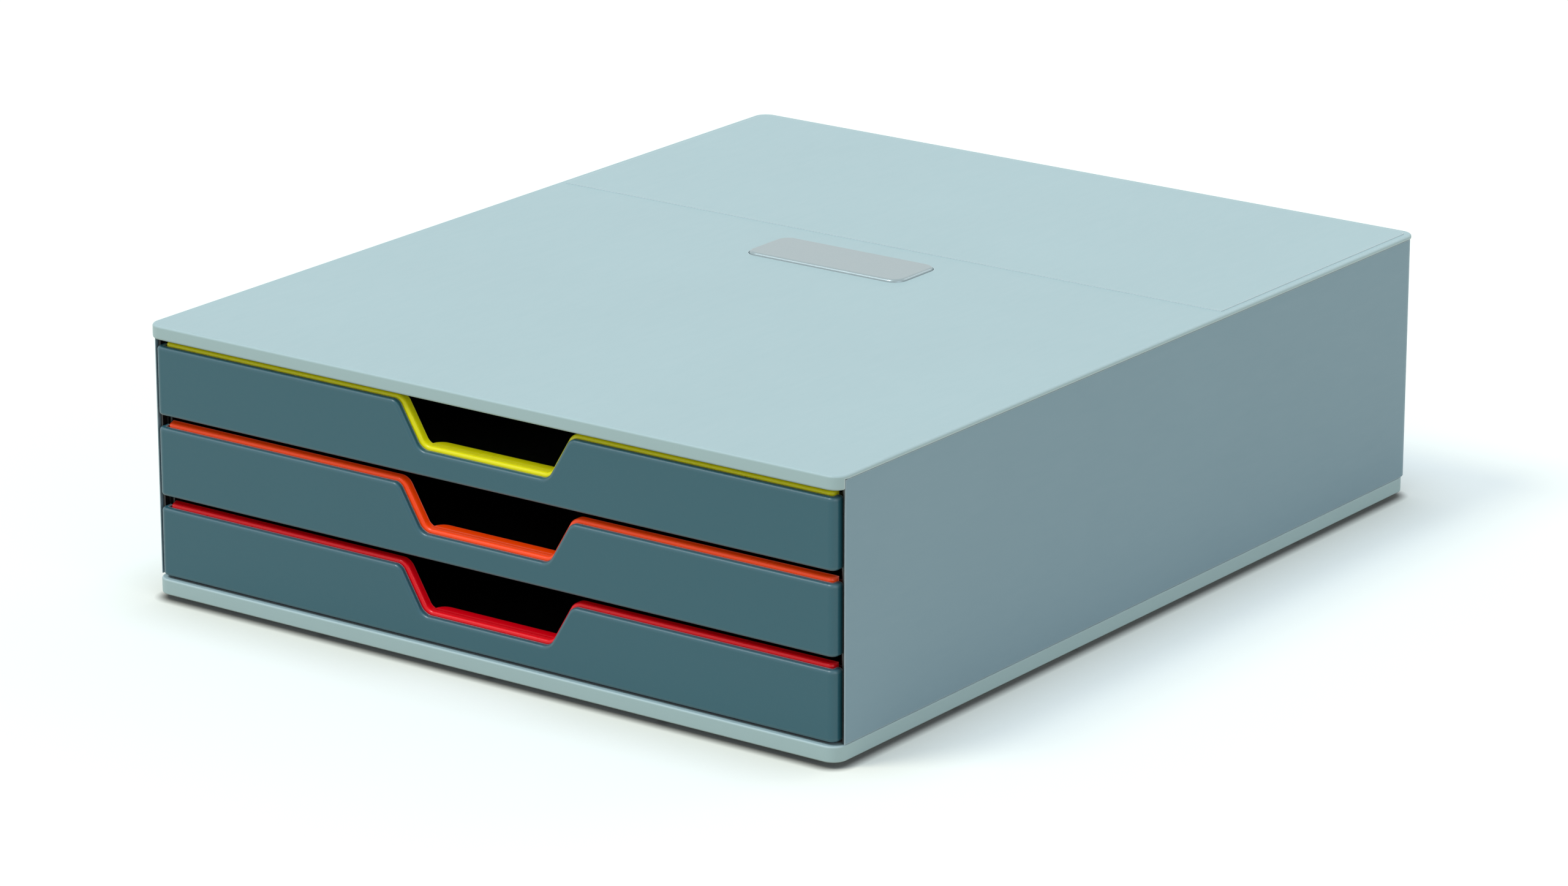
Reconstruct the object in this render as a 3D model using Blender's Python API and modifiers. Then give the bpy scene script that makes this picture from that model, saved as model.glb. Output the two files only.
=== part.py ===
"""Desktop file drawer: a flat office housing with three drawers that slide out of its front.

Units are metres and +Z is up. X runs across the width, and the drawers open towards -Y. The origin is on
the desk top, under the middle of the housing.
"""

from math import cos, hypot, pi, radians, sin

import bmesh
import bpy
from mathutils import Matrix, Vector

# Housing plan
WIDTH = 0.292
DEPTH = 0.356
PLAN_CORNER = 0.0055

# Fits
SEAM = 0.0003
OVERRUN = 0.004
WELD = 0.000001

# Heights, from the desk up
FOOT_PROUD = 0.0020
BASE_BAND = 0.0056
BASE_GAP = 0.0009
DRAWER_NAMES = ("bottom", "middle", "top")
FRONT_HEIGHT = 0.0246
FRONT_GAP = 0.0044
COVER_GAP = 0.0027
COVER_BAND = 0.0050

# Side panels
PANEL_INSET = 0.0004
PANEL_WALL = 0.0018
PANEL_SETBACK = 0.0038
PANEL_RETURN = 0.0080
PANEL_FILLET = 0.0005

# Rear panel
REAR_WALL = 0.0020
REAR_LAP = 0.0060

# Top cover
COVER_EDGE = 0.0013
COVER_WALL = 0.0018
COVER_FILLET = 0.0008
BAND_WALL = 0.0030
SKIRT_WALL = 0.0018
COVER_RIBS = 3
COVER_RIB_WALL = 0.0014
COVER_RIB_DROP = 0.0020
PAD_SETBACK = 0.2290
PAD_RISE = 0.0003
PAD_MARGIN = 0.0010

# Badge plate let into the cover
BADGE_LENGTH = 0.067
BADGE_WIDTH = 0.025
BADGE_CORNER = 0.0050
BADGE_SETBACK = 0.2040
BADGE_RISE = 0.0009
BADGE_SINK = 0.0005
BADGE_BEVEL = 0.0010

# Base plate
BASE_INSET = 0.0008
BASE_WALL = 0.0020
BASE_RIM = 0.0026
BASE_FILLET = 0.0006
BASE_RIBS_ACROSS = 4
BASE_RIBS_ALONG = 3
BASE_RIB_WALL = 0.0014
BASE_RIB_DROP = 0.0024

# Rubber feet
FOOT_RADIUS = 0.0070
FOOT_SINK = 0.0018
FOOT_FILLET = 0.0003
FOOT_INSET = 0.0200
FOOT_BOSS_WALL = 0.0018

# Screws that hold the base to the runner frames
SCREW_RADIUS = 0.0015
SCREW_HEAD_RADIUS = 0.0028
SCREW_HEAD_HEIGHT = 0.0016
SCREW_SLOT_WIDTH = 0.0008
SCREW_SLOT_DEPTH = 0.0008
SCREW_SLOT_LENGTH = 0.0034
SCREW_TIP_COVER = 0.0008
SCREW_BOSS_RADIUS = 0.0032
SCREW_ROWS = ("front", "middle", "rear")
SCREW_END_INSET = 0.0450

# Runner frames
FRAME_WALL = 0.0018
LEDGE_WALL = 0.0020
LEDGE_CLEARANCE = 0.0008
GUIDE_WALL = 0.0015
GUIDE_LAP = 0.0030
GUIDE_CLEARANCE = 0.0005

# Drawer travel and its stops
TRAVEL = 0.250
STOP_CLEARANCE = 0.0005
STOP_LENGTH = 0.0030
STOP_HEIGHT = 0.0060
STOP_SETBACK = 0.0030
STOP_PROUD = 0.0013

# Drawer fronts
FACE_SETBACK = 0.0010
FRONT_WALL = 0.0022
FRONT_SIDE_CLEARANCE = 0.0004
FRONT_END_ROUND = 0.0028
FRONT_RETURN_CLEARANCE = 0.0014
FRONT_FILLET = 0.0012
PEG_RADIUS = 0.0020
PEG_LENGTH_PAST = 0.0008
PEG_HEIGHT = 0.0120
PEG_CUT_CLEARANCE = 0.0225
PEG_END_INSET = 0.0145

# Finger cut-out in each front
CUT_TOP_HALF = 0.0366
CUT_BOTTOM_HALF = 0.0271
CUT_DEPTH = 0.0158
CUT_TOP_ROUND = 0.0035
CUT_BOTTOM_ROUND = 0.0050

# Coloured lips behind the fronts
LIP_WALL = 0.0034
LIP_PROUD = 0.0013
LIP_BOTTOM_INSET = 0.0020
LIP_CORNER = 0.0010
SCOOP_FLAT = 0.0068
SCOOP_RUN = 0.0012
SCOOP_DROP = 0.0010
SCOOP_WALL = 0.0016

# Drawer trays
TRAY_WALL = 0.0018
TRAY_FLOOR = 0.0018
TRAY_LIFT = 0.0004
TRAY_STEP = 0.0042
TRAY_SHELF = 0.0060
TRAY_TOP_DROP = 0.0018
TRAY_SIDE_CLEARANCE = 0.0018
TRAY_REAR_CLEARANCE = 0.0060
TRAY_CORNER = 0.0050
NOTCH_MARGIN = 0.0010

# Round work
ARC_STEPS = 6
ROUND_STEPS = 3
EDGE_STEPS = 2
FOOT_SIDES = 28
SCREW_SIDES = 14
PEG_SIDES = 12

# Heights worked out from the stack
BASE_TOP = FOOT_PROUD + BASE_BAND
PITCH = FRONT_HEIGHT + FRONT_GAP
FRONTS_BOTTOM = BASE_TOP + BASE_GAP
FRONTS_TOP = FRONTS_BOTTOM + PITCH * (len(DRAWER_NAMES) - 1) + FRONT_HEIGHT
COVER_BOTTOM = FRONTS_TOP + COVER_GAP
TOP = COVER_BOTTOM + COVER_BAND
WALLS_BOTTOM = BASE_TOP + SEAM
WALLS_TOP = TOP - COVER_EDGE - SEAM

# Places worked out across the width
PANEL_X = WIDTH / 2 - PANEL_INSET
PANEL_INNER_X = PANEL_X - PANEL_WALL
FRAME_X = PANEL_INNER_X - SEAM
FRAME_INNER_X = FRAME_X - FRAME_WALL
TRAY_X = FRAME_INNER_X - TRAY_SIDE_CLEARANCE
TRAY_LOWER_X = TRAY_X - TRAY_SHELF
LEDGE_X = TRAY_LOWER_X + LEDGE_CLEARANCE
GUIDE_X = TRAY_X - GUIDE_LAP
RETURN_X = PANEL_X - (PLAN_CORNER - PANEL_INSET) - PANEL_RETURN
SCREW_X = (LEDGE_X + FRAME_INNER_X) / 2
FRONT_X = PANEL_INNER_X - FRONT_SIDE_CLEARANCE
LIP_X = FRONT_X - FRONT_WALL - SEAM

# Places worked out along the depth
FRONT_Y = -DEPTH / 2
BACK_Y = DEPTH / 2
PANEL_FRONT_Y = FRONT_Y + PANEL_SETBACK
PANEL_BACK_Y = BACK_Y - PANEL_INSET
REAR_BACK_Y = PANEL_BACK_Y - PANEL_WALL - SEAM
REAR_FRONT_Y = REAR_BACK_Y - REAR_WALL
FRAME_BACK_Y = REAR_FRONT_Y - SEAM
FACE_Y = FRONT_Y + FACE_SETBACK

# Depths inside a drawer, back from its face
LIP_FRONT = FRONT_WALL + SEAM
LIP_BACK = LIP_FRONT + LIP_WALL
TRAY_FRONT = LIP_BACK + SEAM
FRONT_RETURN = TRAY_FRONT - FRONT_RETURN_CLEARANCE
TRAY_BACK = REAR_FRONT_Y - TRAY_REAR_CLEARANCE - FACE_Y
FRAME_FRONT_Y = FACE_Y + TRAY_FRONT
STOP_FRONT_Y = FRAME_FRONT_Y + STOP_SETBACK

# Heights inside a drawer, up from its front's lower edge
TRAY_TOP = FRONT_HEIGHT - TRAY_TOP_DROP
SHELF_BOTTOM = TRAY_LIFT + TRAY_STEP
STOP_BOTTOM = (SHELF_BOTTOM + TRAY_TOP - STOP_HEIGHT) / 2
CUT_BOTTOM = FRONT_HEIGHT - CUT_DEPTH

# Material colours (linear), roughness and metallic
PALE_GREY = ((0.42, 0.53, 0.53), 0.55, 0.0)
SIDE_GREY = ((0.20, 0.29, 0.32), 0.50, 0.0)
FRONT_GREY = ((0.070, 0.130, 0.160), 0.45, 0.0)
TRAY_BLACK = ((0.012, 0.013, 0.015), 0.35, 0.0)
RUBBER_BLACK = ((0.015, 0.015, 0.016), 0.85, 0.0)
BADGE_GREY = ((0.50, 0.55, 0.57), 0.35, 0.0)
STEEL = ((0.60, 0.60, 0.62), 0.35, 1.0)
LIP_COLOURS = {
    "bottom": (0.62, 0.006, 0.030),
    "middle": (1.00, 0.120, 0.020),
    "top": (0.78, 0.720, 0.020),
}
LIP_ROUGHNESS = 0.35

# Where a flat outline's own two axes and its extrusion lie, for each extrusion axis
PLANES = {
    "X": Matrix(((0, 0, 1, 0), (1, 0, 0, 0), (0, 1, 0, 0), (0, 0, 0, 1))),
    "Y": Matrix(((1, 0, 0, 0), (0, 0, 1, 0), (0, 1, 0, 0), (0, 0, 0, 1))),
    "Z": Matrix.Identity(4),
}
FLAT = radians(0.5)
SHARP = radians(35)


def clear_scene():
    """Remove every object in the open scene."""
    for item in list(bpy.data.objects):
        bpy.data.objects.remove(item)


def new_object(name, mesh):
    """Link a mesh into the scene as an object."""
    item = bpy.data.objects.new(name, mesh)
    bpy.context.scene.collection.objects.link(item)
    return item


def evaluated_mesh(item):
    """The mesh of an object with its modifiers worked in."""
    depsgraph = bpy.context.evaluated_depsgraph_get()
    return bpy.data.meshes.new_from_object(item.evaluated_get(depsgraph))


def edit(mesh, change):
    """Run change on a bmesh of the mesh and write the result back."""
    work = bmesh.new()
    work.from_mesh(mesh)
    change(work)
    work.to_mesh(mesh)
    work.free()


def tidy(work):
    """Weld loose caps, merge coplanar triangles and point the faces outwards."""
    bmesh.ops.remove_doubles(work, verts=work.verts, dist=WELD)
    bmesh.ops.dissolve_limit(work, angle_limit=FLAT, verts=work.verts, edges=work.edges)
    bmesh.ops.recalc_face_normals(work, faces=work.faces)


def rounded(corners):
    """The points of a closed outline whose corners (u, v, radius) are rounded by arcs."""
    points = []
    for index, (u, v, radius) in enumerate(corners):
        corner = Vector((u, v))
        if radius == 0:
            points.append((u, v))
            continue
        before = Vector(corners[index - 1][:2]) - corner
        after = Vector(corners[(index + 1) % len(corners)][:2]) - corner
        before.normalize()
        after.normalize()
        middle = (before + after).normalized()
        half = before.angle(after) / 2
        centre = corner + middle * radius / sin(half)
        reach = radius / sin(half) * cos(half)
        start = corner + before * reach - centre
        sweep = start.angle_signed(corner + after * reach - centre)
        for step in range(ARC_STEPS + 1):
            turned = Matrix.Rotation(-sweep * step / ARC_STEPS, 2) @ start
            points.append(tuple(centre + turned))
    return points


def rectangle(half_width, front, back, radius=0):
    """A rectangle about the middle of the width, with one corner radius."""
    return rounded([
        (-half_width, front, radius),
        (half_width, front, radius),
        (half_width, back, radius),
        (-half_width, back, radius),
    ])


def prism(name, outline, axis, low, high):
    """A flat outline extruded along an axis from low to high, as a closed mesh object."""
    curve = bpy.data.curves.new(name, "CURVE")
    curve.dimensions = "2D"
    curve.fill_mode = "BOTH"
    curve.extrude = (high - low) / 2
    spline = curve.splines.new("POLY")
    spline.points.add(len(outline) - 1)
    for point, (u, v) in zip(spline.points, outline):
        point.co = (u, v, 0, 1)
    spline.use_cyclic_u = True
    guide = new_object(name + "_outline", curve)
    guide.matrix_world = PLANES[axis] @ Matrix.Translation((0, 0, (low + high) / 2))
    mesh = evaluated_mesh(guide)
    mesh.transform(guide.matrix_world)
    bpy.data.objects.remove(guide)
    edit(mesh, tidy)
    return new_object(name, mesh)


def box(name, low, high):
    """A block between two corners."""
    mesh = bpy.data.meshes.new(name)
    low, high = Vector(low), Vector(high)
    place = Matrix.Translation((low + high) / 2) @ Matrix.Diagonal((high - low).to_4d())
    edit(mesh, lambda work: bmesh.ops.create_cube(work, size=1, matrix=place))
    return new_object(name, mesh)


def cylinder(name, centre, radius, low, high, sides, axis="Z"):
    """A round bar along an axis, about a centre given in the outline's own two axes."""
    place = PLANES[axis] @ Matrix.Translation((centre[0], centre[1], (low + high) / 2))
    mesh = bpy.data.meshes.new(name)

    def make(work):
        bmesh.ops.create_cone(work, cap_ends=True, segments=sides, radius1=radius, radius2=radius,
                              depth=high - low, matrix=place)
        bmesh.ops.recalc_face_normals(work, faces=work.faces)

    edit(mesh, make)
    return new_object(name, mesh)


def bars(name, places, radius, low, high, sides, axis="Z"):
    """A like round bar at each place."""
    return [cylinder(name, place, radius, low, high, sides, axis) for place in places]


def combine(body, operation, tools):
    """Cut, join or intersect a body with each tool in turn, and remove the tools."""
    for tool in tools:
        modifier = body.modifiers.new("shape", "BOOLEAN")
        modifier.operation = operation
        modifier.object = tool
        mesh = evaluated_mesh(body)
        body.modifiers.clear()
        body.data = mesh
        bpy.data.objects.remove(tool)
    edit(body.data, tidy)
    return body


def cut(body, *tools):
    """Take each tool away from a body."""
    return combine(body, "DIFFERENCE", tools)


def join(body, *tools):
    """Make a body and its tools one solid."""
    return combine(body, "UNION", tools)


def soften(body, width, segments, chosen):
    """Round the edges of a body for which chosen gives true."""
    def change(work):
        edges = [edge for edge in work.edges if len(edge.link_faces) == 2 and chosen(edge)]
        bmesh.ops.bevel(work, geom=edges, offset=width, segments=segments, profile=0.5, affect="EDGES",
                        clamp_overlap=True, material=-1)

    edit(body.data, change)
    return body


def between(edge, first, second):
    """Whether an edge parts a face for which first holds from one for which second holds."""
    one, other = (face.normal for face in edge.link_faces)
    return (first(one) and second(other)) or (first(other) and second(one))


def faces_up(normal):
    """Whether a normal points straight up."""
    return normal.z > cos(SHARP)


def faces_level(normal):
    """Whether a normal lies level."""
    return abs(normal.z) < sin(SHARP)


def finish(item, collection, colour, roughness, metallic, parent=None, location=(0, 0, 0)):
    """Give an object its material, smooth round faces, its place and its collection."""
    material = bpy.data.materials.new(item.name)
    material.use_nodes = True
    shader = material.node_tree.nodes["Principled BSDF"]
    shader.inputs["Base Color"].default_value = (*colour, 1)
    shader.inputs["Roughness"].default_value = roughness
    shader.inputs["Metallic"].default_value = metallic
    item.data.materials.clear()
    item.data.materials.append(material)
    item.data.shade_smooth()
    item.data.set_sharp_from_angle(angle=SHARP)
    item.location = location
    item.parent = parent
    bpy.context.scene.collection.objects.unlink(item)
    collection.objects.link(item)
    return item


def mirrored(item, name):
    """A second object that is the first one's mirror image across the width."""
    mesh = item.data.copy()
    mesh.transform(Matrix.Diagonal((-1, 1, 1, 1)))
    mesh.flip_normals()
    return new_object(name, mesh)


def spread(count, low, high):
    """Evenly spaced places from low to high."""
    return [low + (high - low) * index / (count - 1) for index in range(count)]


def inner_spread(count, low, high):
    """Evenly spaced places between low and high, with a space left at each end."""
    return [low + (high - low) * (index + 1) / (count + 1) for index in range(count)]


def foot_places():
    """The four feet by name, with the middle of each."""
    x = WIDTH / 2 - FOOT_INSET
    y = DEPTH / 2 - FOOT_INSET
    return {
        "foot_front_left": (-x, -y),
        "foot_front_right": (x, -y),
        "foot_rear_left": (-x, y),
        "foot_rear_right": (x, y),
    }


def screw_places():
    """The base screws by name, with the middle of each."""
    along = spread(len(SCREW_ROWS), FRONT_Y + SCREW_END_INSET, BACK_Y - SCREW_END_INSET)
    return {
        f"base_screw_{row}_{side}": (x, y)
        for side, x in (("left", -SCREW_X), ("right", SCREW_X))
        for row, y in zip(SCREW_ROWS, along)
    }


def plan(inset=0):
    """The housing's outline from above, drawn in at the sides and the back by an inset."""
    return rectangle(WIDTH / 2 - inset, FRONT_Y, BACK_Y - inset, PLAN_CORNER)


def make_top_cover():
    """The cover: a thin top with a front band, a skirt inside the walls, ribs and a raised rear pad."""
    cover = prism("top_cover", plan(), "Z", COVER_BOTTOM, TOP)
    soften(cover, COVER_FILLET, ROUND_STEPS, lambda edge: between(edge, faces_up, faces_level))
    floor = COVER_BOTTOM - OVERRUN
    edge_bottom = TOP - COVER_EDGE
    outside = WIDTH / 2 + OVERRUN
    behind = PANEL_FRONT_Y - SEAM
    cut(
        cover,
        box("left_seat", (-outside, behind, floor), (-FRAME_X, BACK_Y + OVERRUN, edge_bottom)),
        box("right_seat", (FRAME_X, behind, floor), (outside, BACK_Y + OVERRUN, edge_bottom)),
        box("rear_seat", (-outside, FRAME_BACK_Y, floor), (outside, BACK_Y + OVERRUN, edge_bottom)),
        box("hollow", (SKIRT_WALL - FRAME_X, FRONT_Y + BAND_WALL, floor),
            (FRAME_X - SKIRT_WALL, FRAME_BACK_Y - SKIRT_WALL, TOP - COVER_WALL)),
    )
    ribs = [
        box("rib", (x - COVER_RIB_WALL / 2, FRONT_Y + BAND_WALL / 2, TOP - COVER_WALL - COVER_RIB_DROP),
            (x + COVER_RIB_WALL / 2, FRAME_BACK_Y - SKIRT_WALL / 2, TOP - COVER_WALL / 2))
        for x in inner_spread(COVER_RIBS, SKIRT_WALL - FRAME_X, FRAME_X - SKIRT_WALL)
    ]
    pad_corner = PLAN_CORNER - PAD_MARGIN
    pad = prism("pad", rounded([
        (PAD_MARGIN - WIDTH / 2, FRONT_Y + PAD_SETBACK, 0),
        (WIDTH / 2 - PAD_MARGIN, FRONT_Y + PAD_SETBACK, 0),
        (WIDTH / 2 - PAD_MARGIN, BACK_Y - PAD_MARGIN, pad_corner),
        (PAD_MARGIN - WIDTH / 2, BACK_Y - PAD_MARGIN, pad_corner),
    ]), "Z", TOP - COVER_EDGE / 2, TOP + PAD_RISE)
    join(cover, pad, *ribs)
    pocket = prism("pocket", badge_outline(SEAM), "Z", TOP - BADGE_SINK - SEAM, TOP + OVERRUN)
    return cut(cover, pocket)


def badge_outline(margin=0):
    """The badge plate's outline, grown by a margin."""
    middle = FRONT_Y + BADGE_SETBACK
    half = BADGE_WIDTH / 2 + margin
    return rectangle(BADGE_LENGTH / 2 + margin, middle - half, middle + half, BADGE_CORNER + margin)


def make_badge_plate():
    """A blank plate that lies in the cover's pocket and stands a little proud."""
    badge = prism("badge_plate", badge_outline(), "Z", TOP - BADGE_SINK, TOP + BADGE_RISE)
    return soften(badge, BADGE_BEVEL, EDGE_STEPS, lambda edge: between(edge, faces_up, faces_level))


def make_side_panel():
    """The right wall, which turns the rear corner: an open sheet given its thickness."""
    radius = PLAN_CORNER - PANEL_INSET
    turn = [pi / 2 * step / ARC_STEPS for step in range(ARC_STEPS + 1)]
    path = [(PANEL_X, PANEL_FRONT_Y)]
    path += [(PANEL_X - radius + radius * cos(a), PANEL_BACK_Y - radius + radius * sin(a)) for a in turn]
    path += [(RETURN_X, PANEL_BACK_Y)]
    mesh = bpy.data.meshes.new("right_side_panel")

    def sheet(work):
        verts = [work.verts.new((x, y, WALLS_BOTTOM)) for x, y in path]
        edges = [work.edges.new(pair) for pair in zip(verts, verts[1:])]
        raised = bmesh.ops.extrude_edge_only(work, edges=edges)["geom"]
        top = [part for part in raised if isinstance(part, bmesh.types.BMVert)]
        bmesh.ops.translate(work, verts=top, vec=(0, 0, WALLS_TOP - WALLS_BOTTOM))
        bmesh.ops.recalc_face_normals(work, faces=work.faces)

    edit(mesh, sheet)
    panel = new_object("right_side_panel", mesh)
    if mesh.polygons[0].normal.x < 0:
        mesh.flip_normals()
    shell = panel.modifiers.new("wall", "SOLIDIFY")
    shell.thickness = PANEL_WALL
    shell.offset = -1
    shell.use_even_offset = True
    panel.data = evaluated_mesh(panel)
    panel.modifiers.clear()
    edit(panel.data, tidy)
    return soften(panel, PANEL_FILLET, EDGE_STEPS, lambda edge: between(
        edge, lambda normal: normal.y < -cos(SHARP), lambda normal: normal.x > cos(SHARP)))


def make_rear_panel():
    """The back wall: a field flush with the side panels' returns and a tongue behind them."""
    tongue = box("rear_panel", (-RETURN_X - REAR_LAP, REAR_FRONT_Y, WALLS_BOTTOM),
                 (RETURN_X + REAR_LAP, REAR_BACK_Y, WALLS_TOP))
    field = box("field", (SEAM - RETURN_X, REAR_FRONT_Y + REAR_WALL / 2, WALLS_BOTTOM),
                (RETURN_X - SEAM, PANEL_BACK_Y, WALLS_TOP))
    return join(tongue, field)


def make_base_plate():
    """The base: a plate with a rim all round, ribs below it, and bosses that take the feet."""
    base = prism("base_plate", plan(BASE_INSET), "Z", FOOT_PROUD, BASE_TOP)
    soften(base, BASE_FILLET, EDGE_STEPS, lambda edge: between(
        edge, lambda normal: abs(normal.z) > cos(SHARP), faces_level))
    ceiling = BASE_TOP - BASE_WALL
    inner_x = WIDTH / 2 - BASE_INSET - BASE_RIM
    inner_front = FRONT_Y + BASE_RIM
    inner_back = BACK_Y - BASE_INSET - BASE_RIM
    hollow = prism("hollow", rectangle(inner_x, inner_front, inner_back, PLAN_CORNER - BASE_RIM), "Z",
                   FOOT_PROUD - OVERRUN, ceiling)
    cut(base, hollow)
    sunk = ceiling + BASE_WALL / 2
    rib_bottom = ceiling - BASE_RIB_DROP
    half = BASE_RIB_WALL / 2
    reach = BASE_RIM / 2
    ribs = [box("rib", (x - half, inner_front - reach, rib_bottom), (x + half, inner_back + reach, sunk))
            for x in inner_spread(BASE_RIBS_ALONG, -inner_x, inner_x)]
    ribs += [box("rib", (-inner_x - reach, y - half, rib_bottom), (inner_x + reach, y + half, sunk))
             for y in inner_spread(BASE_RIBS_ACROSS, inner_front, inner_back)]
    feet = foot_places().values()
    screws = screw_places().values()
    pocket_radius = FOOT_RADIUS + SEAM
    under = FOOT_PROUD - OVERRUN
    join(base, *ribs, *bars("boss", feet, pocket_radius + FOOT_BOSS_WALL, FOOT_PROUD + BASE_FILLET, sunk,
                            FOOT_SIDES))
    return cut(
        base,
        *bars("pocket", feet, pocket_radius, under, FOOT_PROUD + FOOT_SINK + SEAM, FOOT_SIDES),
        *bars("well", screws, SCREW_HEAD_RADIUS + SEAM, under, ceiling, SCREW_SIDES),
        *bars("hole", screws, SCREW_RADIUS + SEAM, under, BASE_TOP + OVERRUN, SCREW_SIDES),
    )


def make_foot(name):
    """A round rubber foot about its own axis, standing on the desk."""
    foot = cylinder(name, (0, 0), FOOT_RADIUS, 0, FOOT_PROUD + FOOT_SINK, FOOT_SIDES)
    return soften(foot, FOOT_FILLET, 1, lambda edge: between(
        edge, lambda normal: normal.z < -cos(SHARP), faces_level))


def screw_tip():
    """How high the base screws reach, just short of the lowest ledge's top."""
    return FRONTS_BOTTOM + SHELF_BOTTOM - SEAM - SCREW_TIP_COVER


def make_base_screw():
    """A base screw about its own axis: a turned head and shank with a cross slot."""
    head_top = BASE_TOP - BASE_WALL - SEAM
    head_bottom = head_top - SCREW_HEAD_HEIGHT
    profile = [(0, screw_tip()), (SCREW_RADIUS, screw_tip()), (SCREW_RADIUS, head_top),
               (SCREW_HEAD_RADIUS, head_top), (SCREW_HEAD_RADIUS, head_bottom), (0, head_bottom)]
    mesh = bpy.data.meshes.new("base_screw")

    def outline(work):
        verts = [work.verts.new((x, 0, z)) for x, z in profile]
        for pair in zip(verts, verts[1:]):
            work.edges.new(pair)

    edit(mesh, outline)
    screw = new_object("base_screw", mesh)
    turn = screw.modifiers.new("turn", "SCREW")
    turn.steps = SCREW_SIDES
    turn.render_steps = SCREW_SIDES
    turn.use_merge_vertices = True
    turn.merge_threshold = WELD
    screw.data = evaluated_mesh(screw)
    screw.modifiers.clear()
    edit(screw.data, tidy)
    slot_top = head_bottom + SCREW_SLOT_DEPTH
    slot_bottom = head_bottom - OVERRUN
    length, half = SCREW_SLOT_LENGTH / 2, SCREW_SLOT_WIDTH / 2
    return cut(screw, join(
        box("slot", (-length, -half, slot_bottom), (length, half, slot_top)),
        box("cross_slot", (-half, -length, slot_bottom), (half, length, slot_top)),
    ))


def drawer_bottoms():
    """The height of the lower edge of each drawer's front, from the bottom up."""
    return [FRONTS_BOTTOM + PITCH * index for index in range(len(DRAWER_NAMES))]


def frame_outline():
    """The right runner frame's section: a wall with a ledge and a guide for each drawer."""
    points = [(FRAME_X, WALLS_BOTTOM), (FRAME_X, COVER_BOTTOM - SEAM), (FRAME_INNER_X, COVER_BOTTOM - SEAM)]
    for bottom in reversed(drawer_bottoms()):
        guide = bottom + TRAY_TOP + GUIDE_CLEARANCE
        ledge = bottom + SHELF_BOTTOM - SEAM
        points += [
            (FRAME_INNER_X, guide + GUIDE_WALL),
            (GUIDE_X, guide + GUIDE_WALL),
            (GUIDE_X, guide),
            (FRAME_INNER_X, guide),
            (FRAME_INNER_X, ledge),
            (LEDGE_X, ledge),
            (LEDGE_X, ledge - LEDGE_WALL),
            (FRAME_INNER_X, ledge - LEDGE_WALL),
        ]
    return points + [(FRAME_INNER_X, WALLS_BOTTOM)]


def make_runner_frame():
    """The right runner frame, with its drawer stops and its screw bosses."""
    frame = prism("right_runner_frame", frame_outline(), "Y", FRAME_FRONT_Y, FRAME_BACK_Y)
    stops = [
        box("stop", (FRAME_INNER_X - STOP_PROUD, STOP_FRONT_Y, bottom + STOP_BOTTOM),
            (FRAME_INNER_X + FRAME_WALL / 2, STOP_FRONT_Y + STOP_LENGTH, bottom + STOP_BOTTOM + STOP_HEIGHT))
        for bottom in drawer_bottoms()
    ]
    boss_top = FRONTS_BOTTOM + SHELF_BOTTOM - SEAM - LEDGE_WALL / 2
    places = [place for place in screw_places().values() if place[0] > 0]
    join(frame, *stops, *bars("boss", places, SCREW_BOSS_RADIUS, WALLS_BOTTOM, boss_top, SCREW_SIDES))
    return cut(frame, *bars("hole", places, SCREW_RADIUS + SEAM, WALLS_BOTTOM - OVERRUN, screw_tip() + SEAM,
                            SCREW_SIDES))


def cutout(offset, overshoot):
    """The corners of the finger cut-out's contour, moved into the opening by an offset."""
    slope = (CUT_TOP_HALF - CUT_BOTTOM_HALF) / CUT_DEPTH
    shift = offset * hypot(1, slope)
    bottom = CUT_BOTTOM + offset
    top = FRONT_HEIGHT + overshoot
    bottom_half = CUT_BOTTOM_HALF + slope * offset - shift
    top_half = CUT_BOTTOM_HALF + slope * (top - CUT_BOTTOM) - shift
    outer = CUT_TOP_ROUND + offset
    inner = CUT_BOTTOM_ROUND - offset
    return [(top_half, top, outer), (bottom_half, bottom, inner), (-bottom_half, bottom, inner),
            (-top_half, top, outer)]


def plate_outline(half_width, bottom, offset, radius):
    """An upright plate's outline with the finger cut-out in its upper edge."""
    top = FRONT_HEIGHT + offset
    return rounded([(-half_width, bottom, radius), (half_width, bottom, radius), (half_width, top, radius)]
                   + cutout(offset, offset) + [(-half_width, top, radius)])


def peg_places():
    """The middle of each peg that holds a front and its lip on the tray."""
    across = (CUT_TOP_HALF + PEG_CUT_CLEARANCE, TRAY_X - PEG_END_INSET)
    return [(side * x, PEG_HEIGHT) for side in (-1, 1) for x in across]


def peg_tools(name, radius, low, high):
    """A bar at each peg's place, for the pegs themselves and for the holes they pass through."""
    return bars(name, peg_places(), radius, low, high, PEG_SIDES, "Y")


def is_outside(face):
    """Whether a face of a drawer's front is its face, one of its rounded corners or one of its ends."""
    return face.normal.y < -sin(FLAT) or face.normal.x * face.calc_center_median().x > FRONT_X - FRONT_WALL


def is_rim(edge):
    """Whether an edge of a drawer's front runs round its outside, where it is rounded over."""
    outside = [is_outside(face) for face in edge.link_faces]
    level = [abs(face.normal.y) < sin(FLAT) for face in edge.link_faces]
    return outside[0] != outside[1] and level[outside.index(False)]


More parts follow.
